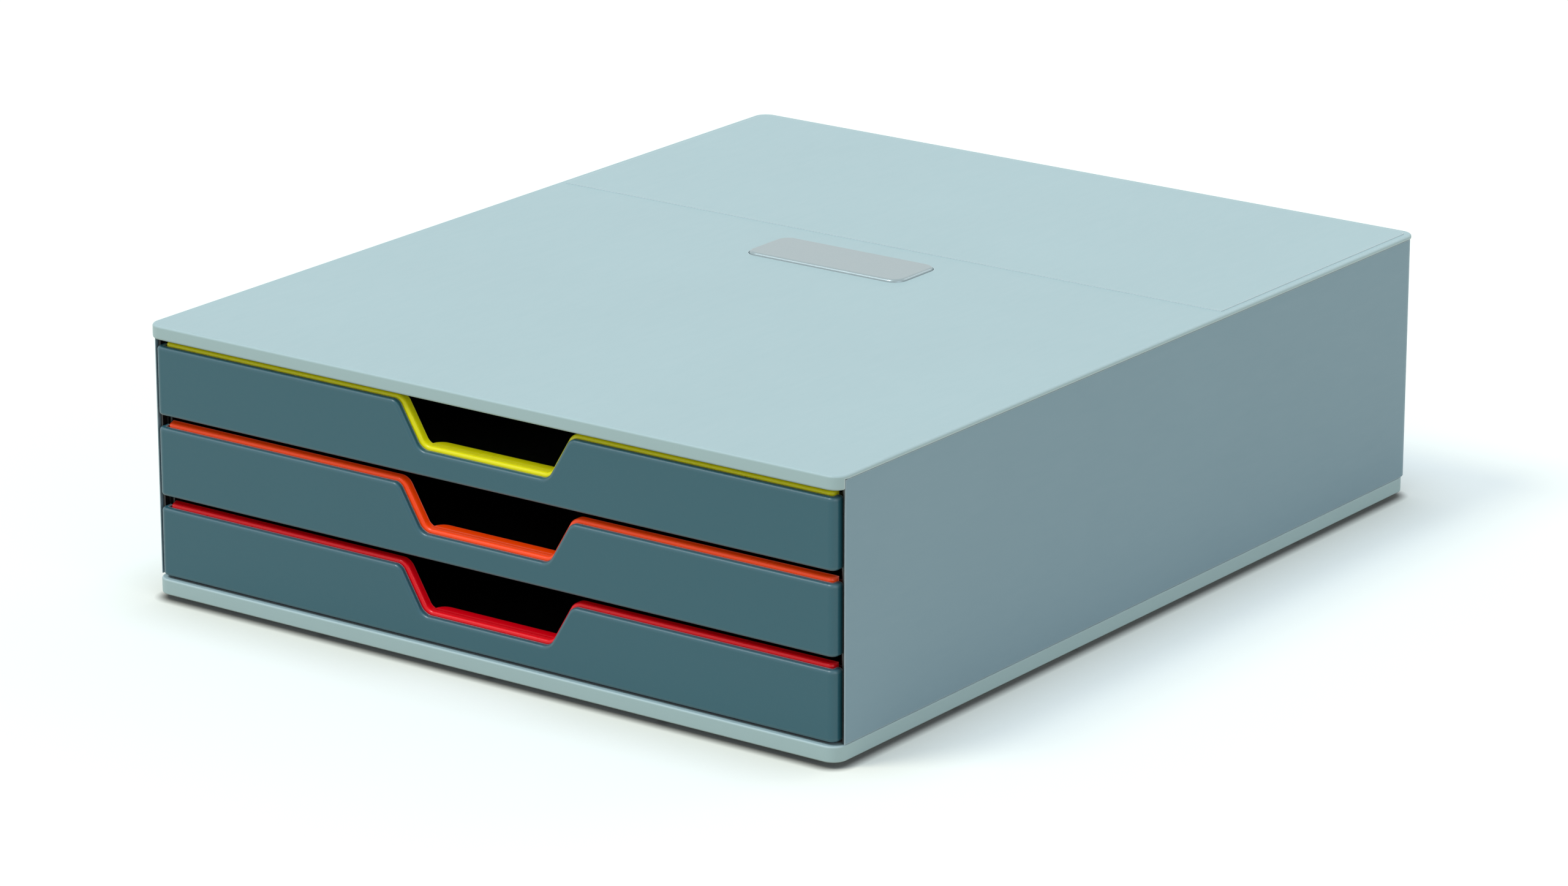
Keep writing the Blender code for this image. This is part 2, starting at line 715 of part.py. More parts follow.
def make_front():
    """A drawer's face with its ends turned back, about the middle of its lower edge, with pegs behind it."""
    front = prism("front", plate_outline(FRONT_X + OVERRUN, 0, 0, 0), "Y", -OVERRUN, FRONT_RETURN + OVERRUN)
    inner = FRONT_X - FRONT_WALL
    section = rounded([
        (-FRONT_X, FRONT_RETURN, 0),
        (-FRONT_X, 0, FRONT_END_ROUND),
        (FRONT_X, 0, FRONT_END_ROUND),
        (FRONT_X, FRONT_RETURN, 0),
        (inner, FRONT_RETURN, 0),
        (inner, FRONT_WALL, 0),
        (-inner, FRONT_WALL, 0),
        (-inner, FRONT_RETURN, 0),
    ])
    combine(front, "INTERSECT", [prism("section", section, "Z", -OVERRUN, FRONT_HEIGHT + OVERRUN)])
    soften(front, FRONT_FILLET, ROUND_STEPS, is_rim)
    reach = TRAY_FRONT + TRAY_WALL + PEG_LENGTH_PAST
    return join(front, *peg_tools("peg", PEG_RADIUS, FRONT_WALL / 2, reach))


def make_lip():
    """The coloured plate behind a front: it stands proud of the front and scoops back at the cut-out."""
    outline = plate_outline(LIP_X, LIP_BOTTOM_INSET, LIP_PROUD, LIP_CORNER)
    lip = prism("lip", outline, "Y", LIP_FRONT, LIP_BACK)
    level = CUT_BOTTOM + LIP_PROUD
    edge = LIP_FRONT + SCOOP_FLAT
    scoop_half = cutout(LIP_PROUD, LIP_PROUD)[1][0]
    scoop = prism("scoop", [
        (LIP_FRONT + LIP_WALL / 2, level),
        (edge, level),
        (edge + SCOOP_RUN, level - SCOOP_DROP),
        (edge + SCOOP_RUN, level - SCOOP_DROP - SCOOP_WALL),
        (edge, level - SCOOP_WALL),
        (LIP_FRONT + LIP_WALL / 2, level - SCOOP_WALL),
    ], "X", -scoop_half, scoop_half)
    join(lip, scoop)
    return cut(lip, *peg_tools("hole", PEG_RADIUS + SEAM, LIP_FRONT - OVERRUN, LIP_BACK + OVERRUN))


def tray_solid(name, wall, floor, top):
    """A stepped tray body, drawn in all round by a wall and raised by a floor."""
    front, back = TRAY_FRONT + wall, TRAY_BACK - wall
    lower_x, outside = TRAY_LOWER_X - wall, TRAY_X + OVERRUN
    bottom, shelf = TRAY_LIFT + floor, SHELF_BOTTOM + floor
    section = [(-lower_x, bottom), (lower_x, bottom), (lower_x, shelf), (outside, shelf), (outside, top),
               (-outside, top), (-outside, shelf), (-lower_x, shelf)]
    body = prism(name, section, "Y", front - OVERRUN, back + OVERRUN)
    corners = prism("corners", rectangle(TRAY_X - wall, front, back, TRAY_CORNER - wall), "Z", -OVERRUN,
                    top + OVERRUN)
    return combine(body, "INTERSECT", [corners])


def make_tray():
    """A drawer's tray: its shelves slide on the ledges, and its side stops meet the frames' stops."""
    tray = tray_solid("tray", 0, 0, TRAY_TOP)
    cut(tray, tray_solid("hollow", TRAY_WALL, TRAY_FLOOR, TRAY_TOP + OVERRUN))
    stop_front = STOP_FRONT_Y + STOP_LENGTH + STOP_CLEARANCE + TRAVEL - FACE_Y
    right_stop = box("right_stop", (TRAY_X - TRAY_WALL / 2, stop_front, STOP_BOTTOM),
                     (TRAY_X + STOP_PROUD, stop_front + STOP_LENGTH, STOP_BOTTOM + STOP_HEIGHT))
    join(tray, mirrored(right_stop, "left_stop"), right_stop)
    notch_half = CUT_TOP_HALF + NOTCH_MARGIN
    notch_bottom = CUT_BOTTOM + LIP_PROUD - SCOOP_WALL - SEAM
    notch = box("notch", (-notch_half, TRAY_FRONT - OVERRUN, notch_bottom),
                (notch_half, TRAY_FRONT + TRAY_WALL + TRAY_CORNER, TRAY_TOP + OVERRUN))
    holes = peg_tools("hole", PEG_RADIUS + SEAM, TRAY_FRONT - OVERRUN, TRAY_FRONT + TRAY_WALL + OVERRUN)
    return cut(tray, notch, *holes)


def build_housing(collection):
    """Make the pieces that stand still."""
    finish(make_top_cover(), collection, *PALE_GREY)
    finish(make_badge_plate(), collection, *BADGE_GREY)
    right_panel = make_side_panel()
    finish(mirrored(right_panel, "left_side_panel"), collection, *SIDE_GREY)
    finish(right_panel, collection, *SIDE_GREY)
    finish(make_rear_panel(), collection, *SIDE_GREY)
    finish(make_base_plate(), collection, *PALE_GREY)
    right_frame = make_runner_frame()
    finish(mirrored(right_frame, "left_runner_frame"), collection, *TRAY_BLACK)
    finish(right_frame, collection, *TRAY_BLACK)
    screw = make_base_screw()
    for name, (x, y) in screw_places().items():
        finish(new_object(name, screw.data.copy()), collection, *STEEL, location=(x, y, 0))
    bpy.data.objects.remove(screw)
    for name, (x, y) in foot_places().items():
        finish(make_foot(name), collection, *RUBBER_BLACK, location=(x, y, 0))


def build_drawers(collection):
    """Make the three drawers, each under an empty at the middle of its front's lower edge."""
    front, lip, tray = make_front(), make_lip(), make_tray()
    for name, bottom in zip(DRAWER_NAMES, drawer_bottoms()):
        slide = bpy.data.objects.new(name + "_drawer", None)
        slide.location = (0, FACE_Y, bottom)
        collection.objects.link(slide)
        finish(new_object(name + "_front", front.data.copy()), collection, *FRONT_GREY, parent=slide)
        finish(new_object(name + "_lip", lip.data.copy()), collection, LIP_COLOURS[name], LIP_ROUGHNESS, 0,
               parent=slide)
        finish(new_object(name + "_tray", tray.data.copy()), collection, *TRAY_BLACK, parent=slide)
    for pattern in (front, lip, tray):
        bpy.data.objects.remove(pattern)


def main():
    """Build the desktop file drawer."""
    clear_scene()
    collection = bpy.data.collections.new("desktop_file_drawer")
    bpy.context.scene.collection.children.link(collection)
    build_housing(collection)
    build_drawers(collection)


if __name__ == "__main__":
    main()
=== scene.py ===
"""Looks of the desktop file drawer: fine meshes, moulded finishes, soft studio light and the camera.

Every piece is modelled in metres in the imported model's frame: +X to the right, +Y to the back and +Z up, with
the origin on the desk under the middle of the housing. The drawers open towards -Y.
"""

import logging
import math
from collections.abc import Callable, Iterable, Sequence
from dataclasses import dataclass, field
from enum import Enum

import bmesh
import bpy
from bmesh.types import BMEdge, BMesh, BMFace, BMVert
from bpy.types import Material, Node, NodeSocket, NodeTree
from mathutils import Matrix, Vector


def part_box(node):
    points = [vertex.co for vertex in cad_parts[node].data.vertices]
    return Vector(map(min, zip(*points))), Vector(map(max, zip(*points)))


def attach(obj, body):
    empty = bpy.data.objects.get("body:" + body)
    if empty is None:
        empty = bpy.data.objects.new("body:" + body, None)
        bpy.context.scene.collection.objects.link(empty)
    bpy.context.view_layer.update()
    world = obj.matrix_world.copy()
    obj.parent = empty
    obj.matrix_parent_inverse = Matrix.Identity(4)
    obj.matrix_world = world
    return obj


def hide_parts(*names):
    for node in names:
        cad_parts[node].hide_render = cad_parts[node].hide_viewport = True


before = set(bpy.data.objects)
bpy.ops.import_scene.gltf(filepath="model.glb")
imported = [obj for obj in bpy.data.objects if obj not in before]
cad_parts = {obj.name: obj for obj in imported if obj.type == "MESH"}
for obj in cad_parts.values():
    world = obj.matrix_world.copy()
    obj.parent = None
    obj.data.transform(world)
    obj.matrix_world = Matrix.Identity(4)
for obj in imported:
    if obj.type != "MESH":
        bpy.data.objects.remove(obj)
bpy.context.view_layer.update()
LOG = logging.getLogger("file_drawer")

MM = 0.001
WELD = 0.000001
FLAT = math.radians(0.5)
LEVEL = math.radians(1)
SHARP = math.radians(32)
ARC_SEGMENTS = 10
RIM_SEGMENTS = 5
EASE_SEGMENTS = 2
ALONG_X, ALONG_Y, ALONG_Z = (Vector(row) for row in Matrix.Identity(3))


class Plane(Enum):
    """The plane that an outline is drawn in: the axes of its u and v, and the axis that it is raised along."""

    PLAN = (0, 1, 2)
    FRONT = (0, 2, 1)

    def place(self, u: float, v: float, height: float) -> Vector:
        """The point at u and v in the plane, raised by a height.

        Args:
            u: The place along the first axis.
            v: The place along the second axis.
            height: How far it is raised.

        Returns:
            The point in the frame.
        """
        point = Vector()
        for axis, value in zip(self.value, (u, v, height)):
            point[axis] = value
        return point


@dataclass(frozen=True)
class Corner:
    """A corner of a flat outline, with the radius that rounds it."""

    u: float
    v: float
    radius: float = 0.0

    def towards(self, other: "Corner") -> Vector:
        """The way from this corner to another."""
        return Vector((other.u - self.u, other.v - self.v))


def rectangle(low_u: float, low_v: float, high_u: float, high_v: float, radius: float = 0.0) -> list[Corner]:
    """The four corners of a rectangle, all with one radius.

    Args:
        low_u: Where it starts along u.
        low_v: Where it starts along v.
        high_u: Where it ends along u.
        high_v: Where it ends along v.
        radius: The radius that rounds the corners.

    Returns:
        The corners in order.
    """
    return [
        Corner(low_u, low_v, radius),
        Corner(high_u, low_v, radius),
        Corner(high_u, high_v, radius),
        Corner(low_u, high_v, radius),
    ]


def outline(work: BMesh, corners: Sequence[Corner], plane: Plane, height: float) -> BMFace:
    """Draw a flat face and round its corners.

    Args:
        work: The bmesh that takes the face.
        corners: The outline's corners in order.
        plane: The plane that they lie in.
        height: How far that plane is raised.

    Returns:
        The face with its corners rounded.
    """
    others = set(work.faces)
    verts = [work.verts.new(plane.place(corner.u, corner.v, height)) for corner in corners]
    work.faces.new(verts)
    for index, (vert, corner) in enumerate(zip(verts, corners)):
        if corner.radius:
            ways = (corner.towards(corners[index - 1]), corner.towards(corners[(index + 1) % len(corners)]))
            bmesh.ops.bevel(
                work, geom=[vert], offset=corner.radius / math.tan(ways[0].angle(ways[1]) / 2),
                offset_type="OFFSET", affect="VERTICES", segments=ARC_SEGMENTS, profile=0.5, material=-1)
    return next(face for face in work.faces if face not in others)


def raise_faces(work: BMesh, faces: Sequence[BMFace], step: Vector) -> list[BMFace]:
    """Extrude faces by a step.

    Args:
        work: The shape that is changed.
        faces: The faces to extrude.
        step: How far and which way.

    Returns:
        The faces that were moved.
    """
    made = bmesh.ops.extrude_face_region(work, geom=list(faces))["geom"]
    bmesh.ops.translate(work, verts=[part for part in made if isinstance(part, BMVert)], vec=step)
    return [part for part in made if isinstance(part, BMFace)]


def prism(work: BMesh, corners: Sequence[Corner], plane: Plane, low: float, high: float) -> None:
    """Add a closed bar between two heights, with a flat outline for its section.

    Args:
        work: The bmesh that takes it.
        corners: The outline's corners in order.
        plane: The plane that they lie in.
        low: The height of the first end.
        high: The height of the second end.
    """
    others = set(work.faces)
    face = outline(work, corners, plane, low)
    raise_faces(work, [face], plane.place(0, 0, high - low))
    bmesh.ops.recalc_face_normals(work, faces=[part for part in work.faces if part not in others])


def push_faces(work: BMesh, faces: Sequence[BMFace], rise: float) -> list[BMFace]:
    """Push level faces of a closed body up or down.

    Args:
        work: The shape that is changed.
        faces: The faces to push.
        rise: How far up, or down below 0.

    Returns:
        The faces that were moved.
    """
    moved = raise_faces(work, faces, ALONG_Z * rise)
    bmesh.ops.delete(work, geom=list(faces), context="FACES_ONLY")
    work.normal_update()
    return moved


def block(work: BMesh, low: Vector, high: Vector) -> None:
    """Add a closed block between two corners."""
    place = Matrix.Translation((low + high) / 2) @ Matrix.Diagonal((high - low).to_4d())
    bmesh.ops.create_cube(work, size=1, matrix=place)


def turned(work: BMesh, profile: Sequence[tuple[float, float]], centre: Vector, steps: int,
           axis: Vector = ALONG_Z) -> None:
    """Add a turned body about an axis.

    Args:
        work: The bmesh that takes the body.
        profile: Radius and height of each point of the profile. It starts and ends on the axis, or it is
            closed and stays clear of the axis.
        centre: The foot of the axis.
        steps: The number of sides.
        axis: Which way the heights are measured.
    """
    others = set(work.faces)
    across = axis.orthogonal().normalized()
    verts = [work.verts.new(centre + across * radius + axis * height) for radius, height in profile]
    pairs = list(zip(verts, verts[1:]))
    if profile[0][0]:
        pairs.append((verts[-1], verts[0]))
    edges = [work.edges.new(pair) for pair in pairs]
    bmesh.ops.spin(work, geom=verts + edges, cent=centre, axis=axis, angle=math.tau, steps=steps,
                   use_merge=True, use_duplicate=False)
    made = [face for face in work.faces if face not in others]
    bmesh.ops.remove_doubles(work, verts=list({vert for face in made for vert in face.verts}), dist=WELD)
    bmesh.ops.recalc_face_normals(work, faces=[face for face in work.faces if face not in others])


def round_edges(work: BMesh, radius: float, segments: int, chosen: Callable[[BMEdge], bool]) -> None:
    """Round every edge for which chosen holds.

    Args:
        work: The shape that is changed.
        radius: The radius of the rounding.
        segments: The number of steps across it.
        chosen: Says of an edge between two faces whether it is rounded.
    """
    work.normal_update()
    edges = [edge for edge in work.edges if len(edge.link_faces) == 2 and chosen(edge)]
    bmesh.ops.bevel(work, geom=edges, offset=radius, offset_type="OFFSET", affect="EDGES", segments=segments,
                    profile=0.5, clamp_overlap=False, material=-1)


def faces_up(face: BMFace) -> bool:
    """Whether a face looks straight up."""
    return face.normal.z > math.cos(LEVEL)


def faces_down(face: BMFace) -> bool:
    """Whether a face looks straight down."""
    return face.normal.z < -math.cos(LEVEL)


def is_upright(face: BMFace) -> bool:
    """Whether a face stands upright."""
    return abs(face.normal.z) < math.sin(LEVEL)


def parts(edge: BMEdge, first: Callable[[BMFace], bool], second: Callable[[BMFace], bool]) -> bool:
    """Whether an edge parts a face for which first holds from one for which second holds."""
    one, other = edge.link_faces
    return (first(one) and second(other)) or (first(other) and second(one))


def is_crease(edge: BMEdge) -> bool:
    """Whether an edge's two faces meet at more than the sharp angle."""
    return edge.calc_face_angle(0) > SHARP


def split(work: BMesh, faces: Iterable[BMFace], axis: Vector, place: float) -> None:
    """Cut some faces where an axis reaches a place, square to it, and leave the rest whole.

    Args:
        work: The shape that is changed.
        faces: The faces to cut.
        axis: The axis that the cut is square to.
        place: Where the cut meets the axis.
    """
    faces = list(faces)
    edges = {edge for face in faces for edge in face.edges}
    verts = {vert for face in faces for vert in face.verts}
    bmesh.ops.bisect_plane(work, geom=[*verts, *edges, *faces], dist=WELD, plane_co=axis * place, plane_no=axis)


def linear(colour: str) -> tuple[float, float, float, float]:
    """An sRGB hex colour as linear light with full alpha.

    Args:
        colour: The colour as # and six hex digits.

    Returns:
        Red, green, blue and alpha.
    """
    channels = [int(colour[start:start + 2], 16) / 255 for start in (1, 3, 5)]
    red, green, blue = (c / 12.92 if c <= 0.04045 else ((c + 0.055) / 1.055) ** 2.4 for c in channels)
    return (red, green, blue, 1.0)


def add_node(tree: NodeTree, kind: str, settings: dict | None = None,
             links: dict | None = None) -> Node:
    """Add a shader node.

    Args:
        tree: The node tree that takes it.
        kind: The node's type, without the leading ShaderNode.
        settings: Attributes by name, and socket values by input name or index.
        links: The output socket that each input takes, by input name or index.

    Returns:
        The new node.
    """
    node = tree.nodes.new("ShaderNode" + kind)
    for key, value in (settings or {}).items():
        if isinstance(key, str) and hasattr(node, key):
            setattr(node, key, value)
        else:
            node.inputs[key].default_value = value
    for key, output in (links or {}).items():
        tree.links.new(output, node.inputs[key])
    return node


@dataclass(frozen=True)
class Finish:
    """What every finish shares: its name, its slot, its colour and its gloss."""

    name: str
    slot: str
    colour: str
    roughness: float

    def blank(self) -> tuple[Material, NodeTree, NodeSocket]:
        """A new material of this name, with its node tree and the object coordinates.

        Returns:
            The material, its node tree and the output of the coordinates.
        """
        material = bpy.data.materials.new(self.name)
        material.use_nodes = True
        return material, material.node_tree, add_node(material.node_tree, "TexCoord").outputs["Object"]

    def tones(self, share: float) -> dict[int, tuple[float, ...]]:
        """The colour a share darker and a share lighter, as the two ends of a mix.

        Args:
            share: How much darker and lighter.

        Returns:
            The two colours by the number of the mix's input.
        """
        base = linear(self.colour)[:3]
        return {6: tuple(c * (1 - share) for c in base) + (1.0,),
                7: tuple(min(1.0, c * (1 + share)) for c in base) + (1.0,)}

    def gloss(self, lower: float, higher: float) -> dict[str, float]:
        """The ends of a range of roughness about this finish's own."""
        return {"To Min": self.roughness + lower, "To Max": self.roughness + higher}

    def wire(self, tree: NodeTree, colour: NodeSocket, roughness: NodeSocket, normal: NodeSocket) -> Node:
        """Link a colour, a roughness and a normal to the shader.

        Args:
            tree: The material's node tree.
            colour: The output of the colour.
            roughness: The output of the roughness.
            normal: The output of the normal.

        Returns:
            The shader node.
        """
        shader = tree.nodes["Principled BSDF"]
        for name, output in (("Base Color", colour), ("Roughness", roughness), ("Normal", normal)):
            tree.links.new(output, shader.inputs[name])
        return shader


@dataclass(frozen=True)
class MouldedPlastic(Finish):
    """Injection-moulded styrene from an eroded tool: a fine even grain that spreads the gloss into a soft sheen.

    The melt sets in faint broad clouds of tone, hands rub the edges smoother, and use leaves a few fine scuffs
    that show only in the sheen. The edges are also painted paler, a painted highlight along every rim, and
    the finish emits a faint light of its own colour: painted light that fills its shadows.
    """

    cloud_mm: float = 70.0
    cloud_share: float = 0.025
    cloud_detail: float = 3.0
    grain_mm: float = 0.9
    grain_height_mm: float = 0.012
    grain_detail: float = 2.0
    edge_mm: float = 0.7
    edge_highlight_share: float = 0.25
    edge_samples: int = 4
    edge_start: float = 0.995
    edge_full: float = 0.86
    scuff_mm: float = 14.0
    scuff_share: float = 0.10
    scuff_detail: float = 4.0
    scuff_fineness: float = 0.7
    scuff_stretch: tuple[float, float, float] = (6.0, 1.0, 6.0)
    scuff_turn: tuple[float, float, float] = (0.0, 0.0, 0.3)
    ior: float = 1.54
    painted_glow: float = 0.0

    def build(self) -> Material:
        """The material as nodes that read object coordinates.

        Returns:
            The finished material.
        """
        material, tree, place = self.blank()
        clouds = add_node(tree, "TexNoise", {"Scale": 1 / (self.cloud_mm * MM), "Detail": self.cloud_detail},
                          {"Vector": place})
        tone = add_node(tree, "Mix", {"data_type": "RGBA", **self.tones(self.cloud_share)},
                        {0: clouds.outputs["Fac"]})
        edge_wear_and_highlight = self.edges(tree)
        # Painted highlight: on edges and fillets the colour is lifted towards white by the edge mask, whatever
        # the light.
        pale = tuple(c + (1 - c) * self.edge_highlight_share for c in linear(self.colour)[:3]) + (1.0,)
        colour = add_node(tree, "Mix", {"data_type": "RGBA", 7: pale}, {0: edge_wear_and_highlight, 6: tone.outputs[2]})
        duller = add_node(tree, "MapRange", self.gloss(self.scuff_share, -self.scuff_share),
                          {"Value": self.scuffs(tree, place)})
        gloss = add_node(tree, "Mix", {3: self.roughness - self.scuff_share},
                         {0: edge_wear_and_highlight, 2: duller.outputs["Result"]})
        grain = add_node(tree, "TexNoise", {"Scale": 1 / (self.grain_mm * MM), "Detail": self.grain_detail},
                         {"Vector": place})
        bump = add_node(tree, "Bump", {"Strength": 1.0, "Distance": self.grain_height_mm * MM},
                        {"Height": grain.outputs["Fac"]})
        shader = self.wire(tree, colour.outputs[2], gloss.outputs[0], bump.outputs["Normal"])
        shader.inputs["IOR"].default_value = self.ior
        # Painted light: the finish emits its own colour, which lightens its shadows.
        if self.painted_glow:
            tree.links.new(colour.outputs[2], shader.inputs["Emission Color"])
            shader.inputs["Emission Strength"].default_value = self.painted_glow
        return material

    def edges(self, tree: NodeTree) -> NodeSocket:
        """How much the surface bends within edge_mm, from 0 on a flat to 1 on an edge: the mask of the smoother
        edges and of their painted highlight.

        Args:
            tree: The material's node tree.

        Returns:
            The output that holds the value.
        """
        smooth = add_node(tree, "Bevel", {"samples": self.edge_samples, "Radius": self.edge_mm * MM})
        true = add_node(tree, "NewGeometry")
        bend = add_node(tree, "VectorMath", {"operation": "DOT_PRODUCT"},
                        {0: smooth.outputs["Normal"], 1: true.outputs["Normal"]})
        return add_node(tree, "MapRange", {"From Min": self.edge_start, "From Max": self.edge_full,
                                           "To Min": 0.0, "To Max": 1.0},
                        {"Value": bend.outputs["Value"]}).outputs["Result"]

    def scuffs(self, tree: NodeTree, place: NodeSocket) -> NodeSocket:
        """Faint long streaks that run mostly along the depth, as papers and sleeves leave them.

        Args:
            tree: The material's node tree.
            place: The output of the coordinates.

        Returns:
            The output that holds the streaks.
        """
        stretched = add_node(tree, "Mapping", {"Scale": self.scuff_stretch, "Rotation": self.scuff_turn},
                             {"Vector": place})
        return add_node(tree, "TexNoise", {"Scale": 1 / (self.scuff_mm * MM), "Detail": self.scuff_detail,
                                           "Roughness": self.scuff_fineness},
                        {"Vector": stretched.outputs["Vector"]}).outputs["Fac"]


@dataclass(frozen=True)
class SilverPaint(Finish):
    """A die-cut plate sprayed with silver-grey lacquer: a cool satin with a fine metal-flake sparkle."""

    flake_mm: float = 0.6
    flake_share: float = 0.05
    flake_height_mm: float = 0.006
    cloud_mm: float = 9.0
    cloud_detail: float = 3.0
    cloud_part: float = 0.5
    gloss_spread: float = 0.05
    metallic: float = 0.35

    def build(self) -> Material:
        """The material as nodes that read object coordinates.

        Returns:
            The finished material.
        """
        material, tree, place = self.blank()
        flakes = add_node(tree, "TexVoronoi", {"Scale": 1 / (self.flake_mm * MM)}, {"Vector": place})
        clouds = add_node(tree, "TexNoise", {"Scale": 1 / (self.cloud_mm * MM), "Detail": self.cloud_detail},
                          {"Vector": place})
        spread = add_node(tree, "Mix", {0: self.cloud_part},
                          {2: flakes.outputs["Distance"], 3: clouds.outputs["Fac"]})
        colour = add_node(tree, "Mix", {"data_type": "RGBA", **self.tones(self.flake_share)},
                          {0: spread.outputs[0]})
        gloss = add_node(tree, "MapRange", self.gloss(-self.gloss_spread, self.gloss_spread),
                         {"Value": clouds.outputs["Fac"]})
        bump = add_node(tree, "Bump", {"Strength": 1.0, "Distance": self.flake_height_mm * MM},
                        {"Height": flakes.outputs["Distance"]})
        shader = self.wire(tree, colour.outputs[2], gloss.outputs["Result"], bump.outputs["Normal"])
        shader.inputs["Metallic"].default_value = self.metallic
        return material


@dataclass(frozen=True)
class MouldedRubber(Finish):
    """Pressed rubber: a matt black skin, greyed by dust, with an uneven pebbled surface."""

    pebble_mm: float = 0.7
    pebble_height_mm: float = 0.04
    dust: str = "#4a4b4b"
    dust_mm: float = 4.0
    dust_detail: float = 5.0
    gloss_spread: float = 0.1

    def build(self) -> Material:
        """The material as nodes that read object coordinates.

        Returns:
            The finished material.
        """
        material, tree, place = self.blank()
        pebbles = add_node(tree, "TexVoronoi", {"Scale": 1 / (self.pebble_mm * MM)}, {"Vector": place})
        dust = add_node(tree, "TexNoise", {"Scale": 1 / (self.dust_mm * MM), "Detail": self.dust_detail},
                        {"Vector": place})
        colour = add_node(tree, "Mix", {"data_type": "RGBA", 6: linear(self.colour), 7: linear(self.dust)},
                          {0: dust.outputs["Fac"]})
        gloss = add_node(tree, "MapRange", self.gloss(-self.gloss_spread, self.gloss_spread),
                         {"Value": dust.outputs["Fac"]})
        bump = add_node(tree, "Bump", {"Strength": 1.0, "Distance": self.pebble_height_mm * MM},
                        {"Height": pebbles.outputs["Distance"]})
        self.wire(tree, colour.outputs[2], gloss.outputs["Result"], bump.outputs["Normal"])
        return material


@dataclass(frozen=True)
class ZincSteel(Finish):
    """Turned steel with a passivated zinc plating: a bright grey with yellow-blue clouds and fine lathe marks."""

    cloud_mm: float = 2.0
    cloud_detail: float = 4.0
    warm: str = "#c9c3ae"
    mark_mm: float = 0.25
    mark_detail: float = 2.0
    mark_height_mm: float = 0.01
    smoother: float = 0.1
    duller: float = 0.12

    def build(self) -> Material:
        """The material as nodes that read object coordinates.

        Returns:
            The finished material.
        """
        material, tree, place = self.blank()
        clouds = add_node(tree, "TexNoise", {"Scale": 1 / (self.cloud_mm * MM), "Detail": self.cloud_detail},
                          {"Vector": place})
        marks = add_node(tree, "TexNoise", {"Scale": 1 / (self.mark_mm * MM), "Detail": self.mark_detail},
                         {"Vector": place})
        colour = add_node(tree, "Mix", {"data_type": "RGBA", 6: linear(self.colour), 7: linear(self.warm)},
                          {0: clouds.outputs["Fac"]})
        gloss = add_node(tree, "MapRange", self.gloss(-self.smoother, self.duller),
                         {"Value": clouds.outputs["Fac"]})
        bump = add_node(tree, "Bump", {"Strength": 1.0, "Distance": self.mark_height_mm * MM},
                        {"Height": marks.outputs["Fac"]})
        shader = self.wire(tree, colour.outputs[2], gloss.outputs["Result"], bump.outputs["Normal"])
        shader.inputs["Metallic"].default_value = 1.0
        return material


COVER_PLASTIC = MouldedPlastic("pale_grey_moulded_styrene", "cover_plastic", "#acc8ce", 0.50,
                               edge_highlight_share=0.35)
WALL_PLASTIC = MouldedPlastic("mid_grey_moulded_styrene", "wall_plastic", "#84a2b2", 0.50)
FRONT_PLASTIC = MouldedPlastic("anthracite_moulded_styrene", "front_plastic", "#2a5f6e", 0.36, edge_mm=1.0,
                               edge_highlight_share=0.35)
TRAY_PLASTIC = MouldedPlastic("black_moulded_styrene", "tray_plastic", "#131517", 0.34, edge_highlight_share=0.04)
LIP_YELLOW = MouldedPlastic("lemon_moulded_styrene", "lip_yellow", "#f6f000", 0.30, edge_mm=1.2,
                            edge_highlight_share=0.10, ior=1.40, painted_glow=0.03)
LIP_ORANGE = MouldedPlastic("orange_moulded_styrene", "lip_orange", "#ff4600", 0.30, edge_mm=1.2,
                            edge_highlight_share=0.18, ior=1.40, painted_glow=0.15)
LIP_RED = MouldedPlastic("red_moulded_styrene", "lip_red", "#ee0018", 0.30, edge_mm=1.2, edge_highlight_share=0.06,
                         ior=1.40, painted_glow=0.04)
BADGE_PAINT = SilverPaint("silver_lacquer", "badge_silver", "#a0b1b5", 0.30)
FOOT_RUBBER = MouldedRubber("pressed_black_rubber", "foot_rubber", "#1c1d1d", 0.85)
SCREW_STEEL = ZincSteel("zinc_plated_steel", "screw_steel", "#b9bcc0", 0.34)


@dataclass
class Workshop:
    """Turns shapes into finished pieces that ride on the frame's bodies."""

    materials: dict[str, Material] = field(default_factory=dict)

    def material(self, finish: Finish) -> Material:
        """The one material of a finish, made the first time that it is asked for.

        Args:
            finish: The finish.

        Returns:
            Its material.
        """
        if finish.name not in self.materials:
            self.materials[finish.name] = finish.build()
        return self.materials[finish.name]

    def piece(self, name: str, work: BMesh, finish: Finish, body: str, nodes: Sequence[str]) -> None:
        """Finish a shape and set it in the frame.

        Args:
            name: The new piece's name.
            work: Its shape, which is used up.
            finish: The finish that it gets.
            body: The body that it rides on.
            nodes: The CAD nodes that it stands for.
        """
        bmesh.ops.remove_doubles(work, verts=work.verts, dist=WELD)
        bmesh.ops.dissolve_limit(work, angle_limit=FLAT, verts=work.verts, edges=work.edges)
        bmesh.ops.recalc_face_normals(work, faces=work.faces)
        mesh = bpy.data.meshes.new(name)
        work.to_mesh(mesh)
        work.free()
        mesh.shade_smooth()
        mesh.set_sharp_from_angle(angle=SHARP)
        mesh.materials.append(self.material(finish))
        piece = bpy.data.objects.new(name, mesh)
        bpy.context.scene.collection.objects.link(piece)
        normals = piece.modifiers.new("even_shading", "WEIGHTED_NORMAL")
        normals.keep_sharp = True
        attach(piece, body)
        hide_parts(*nodes)
        LOG.info("%s: %d faces on %s", name, len(mesh.polygons), body)

    def dress(self, node: str, finish: Finish) -> None:
        """Give a CAD node a finish and leave its shape alone.

        Args:
            node: The CAD node's name.
            finish: The finish that it gets.
        """
        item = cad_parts[node]
        item.data.materials.clear()
        item.data.materials.append(self.material(finish))
        LOG.info("%s: dressed as it is", node)


def foot_of(node: str) -> Vector:
    """The middle of a CAD node's box, brought down to the floor."""
    low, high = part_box(node)
    return ((low + high) / 2).xy.to_3d()


